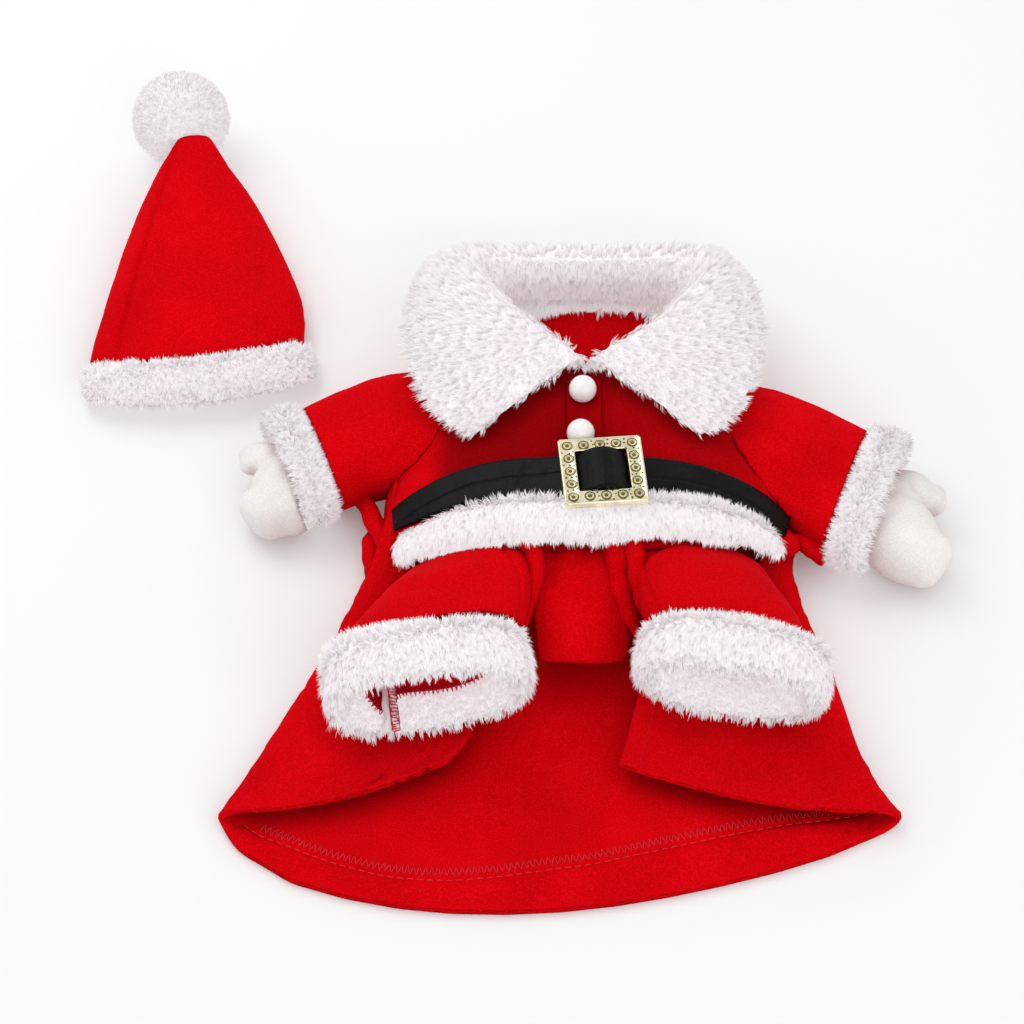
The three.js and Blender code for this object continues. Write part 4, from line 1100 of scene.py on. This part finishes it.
def make_belt_loop():
    return finish_mesh(soft_copy("belt_loop", "belt_loop_strap", edge=1.6, rounds=4), leather)


def buckle_place(x, y, z):
    """A place on the buckle, in the part's frame."""
    return BUCKLE_MIDDLE + BUCKLE_ACROSS * x + BUCKLE_UP * y + BUCKLE_OUT * (z - BUCKLE_DEPTH / 2)


def square_ring(half, corner, count=12):
    """Places round a square with rounded corners."""
    places = []
    for k, (sx, sy) in enumerate(((1, 1), (-1, 1), (-1, -1), (1, -1))):
        for step in range(count + 1):
            turn = math.pi / 2 * (k + step / count)
            x = sx * (half - corner) + corner * math.cos(turn)
            y = sy * (half - corner) + corner * math.sin(turn)
            places.append((x, y))
    return places


def lathe_faces(rings):
    """Places and faces of closed rings joined one to the next, and the last to the first."""
    size = len(rings[0])
    places = [place for ring in rings for place in ring]
    faces = []
    for r in range(len(rings)):
        faces += band_faces(r * size, (r + 1) % len(rings) * size, size)
    return places, faces


def dome_faces(x, y, base, radius, height, sides):
    """A small round bump on the buckle."""
    places = []
    for rise in (0, math.pi / 6, math.pi / 3):
        out = radius * math.cos(rise)
        top = base + height * math.sin(rise)
        places += [(x + out * math.cos(turn), y + out * math.sin(turn), top) for turn in turns_of(sides)]
    places.append((x, y, base + height))
    faces = band_faces(0, sides, sides) + band_faces(sides, 2 * sides, sides)
    faces += [[2 * sides + k, 2 * sides + (k + 1) % sides, 3 * sides] for k in range(sides)]
    return places, faces


def ring_faces(x, y, base, radius, wire):
    """A raised ring on the buckle."""
    rings = []
    for angle in turns_of(14):
        section = []
        for turn in turns_of(6):
            out = radius + wire * math.cos(turn)
            top = base + wire * math.sin(turn)
            section.append((x + out * math.cos(angle), y + out * math.sin(angle), top))
        rings.append(section)
    return lathe_faces(rings)


def ring_places():
    """Where the rings sit along the buckle's four sides, each corner once."""
    places = []
    for i in range(RINGS_A_SIDE - 1):
        along = -RING_ROW + 2 * RING_ROW * i / (RINGS_A_SIDE - 1)
        places += [(along, RING_ROW), (RING_ROW, -along), (-along, -RING_ROW), (-RING_ROW, along)]
    return places


def buckle_object(name, parts, material, limit):
    places = []
    faces = []
    for part_places, part_faces in parts:
        faces += [[len(places) + corner for corner in face] for face in part_faces]
        places += [buckle_place(*place) for place in part_places]
    piece = add_object(name, mesh_from_faces(name, places, faces))
    face_outwards(piece)
    return finish_mesh(piece, material, limit)


def make_buckle():
    """A square frame with raised rims and a band of rings between them."""
    section = []
    for half, height in BUCKLE_SECTION:
        corner = 1.5 if half > 15 else 1.0
        section.append([(x, y, height) for x, y in square_ring(half, corner)])
    parts = [lathe_faces(section)]
    parts += [ring_faces(x, y, RING_LEVEL, RING_RADIUS, RING_WIRE) for x, y in ring_places()]
    return buckle_object("buckle_frame", parts, gold, limit=35)


def make_buckle_painted_shade():
    """Painted shade on the buckle's pattern: dark gilt for a line round each ring, a pip in it, and dots
    between, where its recesses are shaded.
    """
    rng = np.random.default_rng(41)
    parts = []
    for x, y in ring_places():
        parts.append(ring_faces(x, y, base=3.19, radius=2.15, wire=0.26))
        parts.append(dome_faces(x, y, base=3.1, radius=0.95, height=0.5, sides=10))
    half_step = RING_ROW / (RINGS_A_SIDE - 1)
    for x, y in ring_places():
        on_flank = abs(abs(x) - RING_ROW) < 0.1
        for shift in (-2.3, 0.2, 2.2):
            across = shift + 0.3 * rng.normal()
            along = half_step + 0.35 * rng.normal()
            dot_x = x + (across if on_flank else along)
            dot_y = y + (along if on_flank else across)
            if max(abs(dot_x), abs(dot_y)) < DOT_LIMIT:
                radius = 0.42 + 0.2 * rng.random()
                parts.append(dome_faces(dot_x, dot_y, base=3.12, radius=radius, height=0.34, sides=7))
    return buckle_object("buckle_painted_shade", parts, shade_gilt, limit=80)


def make_button(node):
    """A ball cut flat at its base, rounder than the solid's facets."""
    return finish_mesh(soft_copy(node, f"{node}_ball", edge=1.1, rounds=8), button_plastic, limit=60)


# Stitching and the seam inside the left cuff

def make_hem_thread(tree):
    paths = stitches(tree, HEM_STITCH, length=2.8, gap=0.9, lift=0.1, ceiling=UNDER_FLAPS)
    return thread_piece("hem_stitches", paths, THICK_THREAD, thread_light)


def make_hem_overlock(tree):
    inner = [(x, y + HEM_INNER) for x, y in HEM_STITCH[1:-1]]
    paths = zigzag(tree, inner, low=0.2, high=4.2, pitch=1.25, lift=0.12, seed=12, ceiling=UNDER_FLAPS)
    return thread_piece("hem_overlock", paths, THIN_THREAD, thread_light)


def make_flap_thread(tree):
    paths = stitches(tree, FLAP_STITCH, length=2.6, gap=1.0, lift=0.05)
    return thread_piece("flap_stitches", paths, THIN_THREAD, thread_red)


def make_belt_thread(tree):
    paths = stitches(tree, BELT_GROOVE, length=2.2, gap=0.8, lift=-0.05)
    return thread_piece("belt_stitches", paths, BELT_THREAD, thread_black)


def make_cuff_strip():
    """The seam allowance of the left cuff's fur, folded open inside the cuff and out over its lip."""
    path = curved(STRIP_PATH, 5)
    along = unit(np.gradient(path, axis=0))
    across = unit(np.cross(along, (0, 0.3, 1)))
    out = np.cross(across, along)
    out *= np.where(out[:, 2:3] < 0, -1, 1)
    rings = []
    for k, place in enumerate(path):
        width = 2.9 + 0.35 * math.sin(k * 0.9)
        top = []
        under = []
        for t in np.linspace(-1, 1, 7):
            arch = STRIP_ARCH * (1 - t * t) + 0.25 * math.sin(3 * t + k * 0.7)
            top.append(place + across[k] * t * width + out[k] * (arch + STRIP_HALF))
            under.append(place + across[k] * t * width + out[k] * (arch - STRIP_HALF))
        rings.append(top + under[::-1])
    return finish_mesh(ringed_piece("cuff_seam_strip", rings), fur_backing, limit=60), path, across, out


def make_cuff_overlock(path, across, out):
    """Red overlock thread to and fro over the strip's right half, and along its edge and its middle."""
    rng = np.random.default_rng(8)

    def on_strip(k, aside, height, stray):
        return path[k] - across[k] * aside + out[k] * height + rng.normal(0, stray, 3)

    line = []
    for k in range(len(path)):
        ends = (0.2, 3.0) if k % 2 == 0 else (3.0, 0.2)
        for reach in np.linspace(*ends, 4):
            line.append(on_strip(k, reach, STRIP_ARCH * (1 - (reach / 3) ** 2) + 0.85, 0.12))
    edge = [on_strip(k, 3.1, 0.5, 0.15) for k in range(len(path))]
    middle = [on_strip(k, -0.2, 2.0, 0.1) for k in range(len(path))]
    return thread_piece("cuff_overlock", [line, edge, middle], THICK_THREAD, thread_red)


def make_cuff_lining(tree):
    """The leg's red felt inside the left cuff, as far as its joint with the fur."""
    rings = []
    for x, y in walk(curved(LINING_EDGE), 1.5)[:, :2]:
        tops = []
        for share in np.linspace(0, 1, 9):
            place = on_top(tree, x, y + (LINING_DEEP - y) * share, 0, INSIDE_CUFF)
            if place is None:
                place = tops[-1] + (0, (LINING_DEEP - y) / 8, 0)
            tops.append(place)
        rings.append([place + (0, 0, LINING_TOP) for place in tops]
                     + [place + (0, 0, LINING_UNDER) for place in reversed(tops)])
    return finish_mesh(ringed_piece("cuff_lining", rings), felt_red, limit=60)


def make_lining_overlock(tree):
    """Red overlock thread over the joint of the left cuff's lining."""
    paths = zigzag(tree, LINING_EDGE, low=-2.8, high=1.2, pitch=0.95, lift=2.9, seed=15, ceiling=INSIDE_CUFF)
    return thread_piece("lining_overlock", paths, THICK_THREAD, thread_red)


# Which way the fur lies

def away_from(x, y, strength):
    """Fur that lies outwards in plan from a place."""
    def flow(centre, normal):
        out = centre - np.array([x, y, 0])
        out[:, 2] = 0
        return unit(out) * strength
    return flow


def opening_axis(heading):
    """The direction in which an opening looks, from its heading."""
    return np.array([-math.sin(math.radians(heading)), -math.cos(math.radians(heading)), 0])


def to_both_ends(place, heading, strength, sag=0.0, parting=0.0):
    """Fur of a cuff that lies towards its two rims from a parting, so far before its middle."""
    axis = opening_axis(heading)

    def flow(centre, normal):
        side = np.clip(((centre - np.array(place)) @ axis + parting) / 4, -1, 1)[:, None]
        return axis * side * strength + np.array([0, 0, -sag])
    return flow


def collar_flow(centre, normal):
    """The collar's fur lies outwards, and down towards the neck on the inner face of its back."""
    out = away_from(*COLLAR_MIDDLE, strength=0.8)(centre, normal)
    inner = ease((-normal[:, 1] + 0.15) / 0.9) * ease((centre[:, 1] - 62) / 10)
    return out * (1 - inner[:, None]) + np.array([0, -0.3, -0.75]) * inner[:, None]


def short_inside(place, heading, factor):
    """A shorter pile on a cuff's inner face."""
    axis = opening_axis(heading)

    def trim(centre, normal):
        from_axis = centre - np.array(place)
        from_axis -= (from_axis @ axis)[:, None] * axis
        inward = -np.sum(unit(from_axis) * normal, axis=1)
        return 1 - (1 - factor) * ease((inward + 0.1) / 0.5)
    return trim


def band_flow(centre, normal):
    """The waist band's fur hangs down, and its top edge stands up over the belt."""
    top = np.interp(centre[:, 0], *zip(*BAND_TOP))
    up = ease((centre[:, 1] - top + 3) / 5)[:, None]
    return np.array([0, -1, -0.15]) * 0.75 * (1 - up) + np.array([0, 0.7, 0.1]) * up


def outwards(strength):
    def flow(centre, normal):
        return normal * strength
    return flow


def left_cuff_shift(places):
    """The left cuff's top reaches back on its left side, and its lower lip hangs down."""
    moved = np.zeros_like(places)
    top = ease((places[:, 2] - 26) / 14)
    lean = np.maximum((LEFT_CUFF[0][0] - places[:, 0]) * 0.11, -0.5)
    moved[:, 1] = top * lean - 2.6 * (1 - top)
    return moved


def brim_shift(places):
    """The brim's front lip, pushed out by its pile where the hat rests on it."""
    middle, heading = BRIM
    axis = opening_axis(heading)
    forward = ease(((places - np.array(middle)) @ axis + 4) / 10)
    return axis * forward[:, None] * BRIM_PUSH


def dress_in_fur(node, inset, shift=None, **look):
    """A backing and a pile for one fur solid, whose form may be shifted a little first."""
    form = copy_node(node, f"{node}_form")
    if shift:
        places = places_of(form)
        set_places(form, places + shift(places))
    pieces[node] = fur_core(form, f"{node}_backing", inset)
    furs[node] = grow_fur(f"{node}_pile", form, pieces[node], **look)
    bpy.data.objects.remove(form)
    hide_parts(node)


# The scene round the suit

def make_floor():
    mesh = bpy.data.meshes.new("floor")
    corners = [(x * PAPER_HALF, y * PAPER_HALF, 0) for x, y in ((-1, -1), (1, -1), (1, 1), (-1, 1))]
    mesh.from_pydata(corners, [], [(0, 1, 2, 3)])
    floor = add_object("floor", mesh)
    material, shader = new_material("floor_paper", (0.82, 0.82, 0.825), 0.9)
    set_inputs(material, shader, {
        "Emission Color": (1, 1, 1, 1), "Emission Strength": PAPER_LIGHT, "Specular IOR Level": 0.1})
    floor.data.materials.append(material)
    floor.location.z = -PAPER_DROP * MM


def aimed_object(name, data, place, aim):
    """A lamp or camera at a place, turned towards its aim."""
    item = add_object(name, data)
    item.location = place
    item.rotation_euler = (Vector(aim) - item.location).to_track_quat("-Z", "Y").to_euler()
    return item


def make_lights():
    """Soft light from above and behind, with a weak fill from the front."""
    for name, place, power, size in LAMPS:
        lamp = bpy.data.lights.new(name, "AREA")
        lamp.energy = power
        lamp.shape = "SQUARE"
        lamp.size = size
        aimed_object(name, lamp, place, LAMP_AIM)
    world = bpy.data.worlds.new("studio")
    world.use_nodes = True
    background = world.node_tree.nodes["Background"]
    background.inputs["Color"].default_value = (1, 1, 1, 1)
    background.inputs["Strength"].default_value = ROOM_LIGHT
    bpy.context.scene.world = world
    bpy.context.scene.view_settings.view_transform = "Standard"


def make_camera():
    aim = Vector(AIM) * MM
    tilt = math.radians(ELEVATION)
    lens = bpy.data.cameras.new("camera")
    lens.lens = LENS
    lens.sensor_width = SENSOR
    place = aim + Vector((0, -math.cos(tilt), math.sin(tilt))) * DISTANCE * MM
    bpy.context.scene.camera = aimed_object("camera", lens, place, aim)


# Building

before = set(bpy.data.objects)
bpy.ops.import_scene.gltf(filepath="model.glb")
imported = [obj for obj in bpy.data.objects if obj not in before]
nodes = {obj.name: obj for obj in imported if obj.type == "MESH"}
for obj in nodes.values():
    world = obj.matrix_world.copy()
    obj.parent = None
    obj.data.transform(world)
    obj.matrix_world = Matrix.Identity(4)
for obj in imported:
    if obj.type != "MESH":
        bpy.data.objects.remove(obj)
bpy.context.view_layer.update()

felt_red = felt_material("red_felt_nap", *RED_NAP)
# painted shade: the chest's felt is drawn darker between collar and belt
felt_chest_painted_shade = felt_material("red_felt_painted_shade", *RED_NAP, CHEST_PAINTED_SHADE)
felt_mitten = felt_material("mitten_felt_nap", *MITTEN_NAP)
fur_backing = felt_material("fur_backing_knit", *KNIT_NAP)
fur_base = fur_base_material()
fur_pile = fur_pile_material()
leather = leather_material()
gold = gold_material("gilt", (0.97, 0.9, 0.62), 0.17)
# painted shade: dark gilt for the buckle pattern's shaded recesses
shade_gilt = gold_material("gilt_painted_shade", (0.2, 0.14, 0.025), 0.4)
button_plastic = button_material()
thread_light = thread_material("thread_light_red", (0.78, 0.035, 0.05))
thread_red = thread_material("thread_red", (0.6, 0.01, 0.03))
thread_black = thread_material("thread_black", (0.02, 0.02, 0.022))

# The piece that stands for each solid, and the piles that grow on the fur ones
pieces = {
    "hat_cone": make_hat_cloth(),
    "chest_front": make_chest_cloth(),
    "back_panel": make_back_cloth(),
    "belly_panel": make_belly_cloth(),
    "placket": make_placket_cloth(),
    "leg_left": make_leg_cloth("leg_left", LEFT_LEG_FOLDS, LEFT_LEG_SEAM, 4.4),
    "leg_right": make_leg_cloth("leg_right", RIGHT_LEG_FOLDS, RIGHT_LEG_SEAM, 6.6),
    "sleeve_left": make_sleeve_cloth("sleeve_left", LEFT_SLEEVE_FOLDS, 7.3),
    "sleeve_right": make_sleeve_cloth("sleeve_right", RIGHT_SLEEVE_FOLDS, 9.1),
    "mitten_left": make_mitten("mitten_left", LEFT_MITTEN_FOLDS, 3.9),
    "mitten_right": make_mitten("mitten_right", RIGHT_MITTEN_FOLDS, 5.2),
}
rolls = [make_felt_roll(name, rows, 1.5 + number) for number, (name, rows) in enumerate(FELT_ROLLS.items())]
pieces["belt"] = make_belt()
pieces["belt_loop"] = make_belt_loop()
pieces["buckle"] = make_buckle()
# painted shade on the buckle's pattern
hollows = make_buckle_painted_shade()
for node in SLOTS["button_plastic"]:
    pieces[node] = make_button(node)

furs = {}
dress_in_fur("collar", inset=2.4, blades=49000, seed=21, flow=collar_flow, **PILE)
dress_in_fur("fur_band", inset=2.2, blades=30000, seed=2, flow=band_flow, **PILE)
dress_in_fur("leg_cuff_left", inset=2.4, blades=25000, seed=3, shift=left_cuff_shift,
             flow=to_both_ends(*LEFT_CUFF, strength=0.6, sag=0.15, parting=7),
             trim=short_inside(*LEFT_CUFF, factor=0.45), **PILE)
dress_in_fur("leg_cuff_right", inset=2.4, blades=25000, seed=4,
             flow=to_both_ends(*RIGHT_CUFF, strength=0.6, sag=0.15, parting=7),
             trim=short_inside(*RIGHT_CUFF, factor=0.45), **PILE)
dress_in_fur("sleeve_cuff_left", inset=2.2, blades=17000, seed=5,
             flow=to_both_ends(*LEFT_WRIST, strength=0.5), **SOFT_PILE)
dress_in_fur("sleeve_cuff_right", inset=2.2, blades=19000, seed=6,
             flow=to_both_ends(*RIGHT_WRIST, strength=0.5), **SOFT_PILE)
dress_in_fur("hat_brim", inset=2.2, blades=24000, seed=7, shift=brim_shift,
             flow=to_both_ends(*BRIM, strength=0.3, sag=0.2), **SOFT_PILE)
dress_in_fur("pompom", inset=2.2, blades=24000, seed=8, flow=outwards(strength=0.5), **BALL_PILE)

fringe = neck_fringe()
back_tree = surface_tree(pieces["back_panel"])
threads = [make_hem_thread(back_tree), make_hem_overlock(back_tree), make_flap_thread(back_tree),
           make_belt_thread(surface_tree(pieces["belt"]))]
strip, strip_path, strip_across, strip_out = make_cuff_strip()
threads.append(make_cuff_overlock(strip_path, strip_across, strip_out))
cuff_tree = surface_tree(pieces["leg_cuff_left"])
lining = make_cuff_lining(cuff_tree)
threads.append(make_lining_overlock(cuff_tree))

for slot, names in SLOTS.items():
    for node in names:
        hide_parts(node)
for piece in [*pieces.values(), *furs.values(), *rolls, *threads, fringe, hollows, strip, lining]:
    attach(piece, "root")

make_floor()
make_lights()
make_camera()
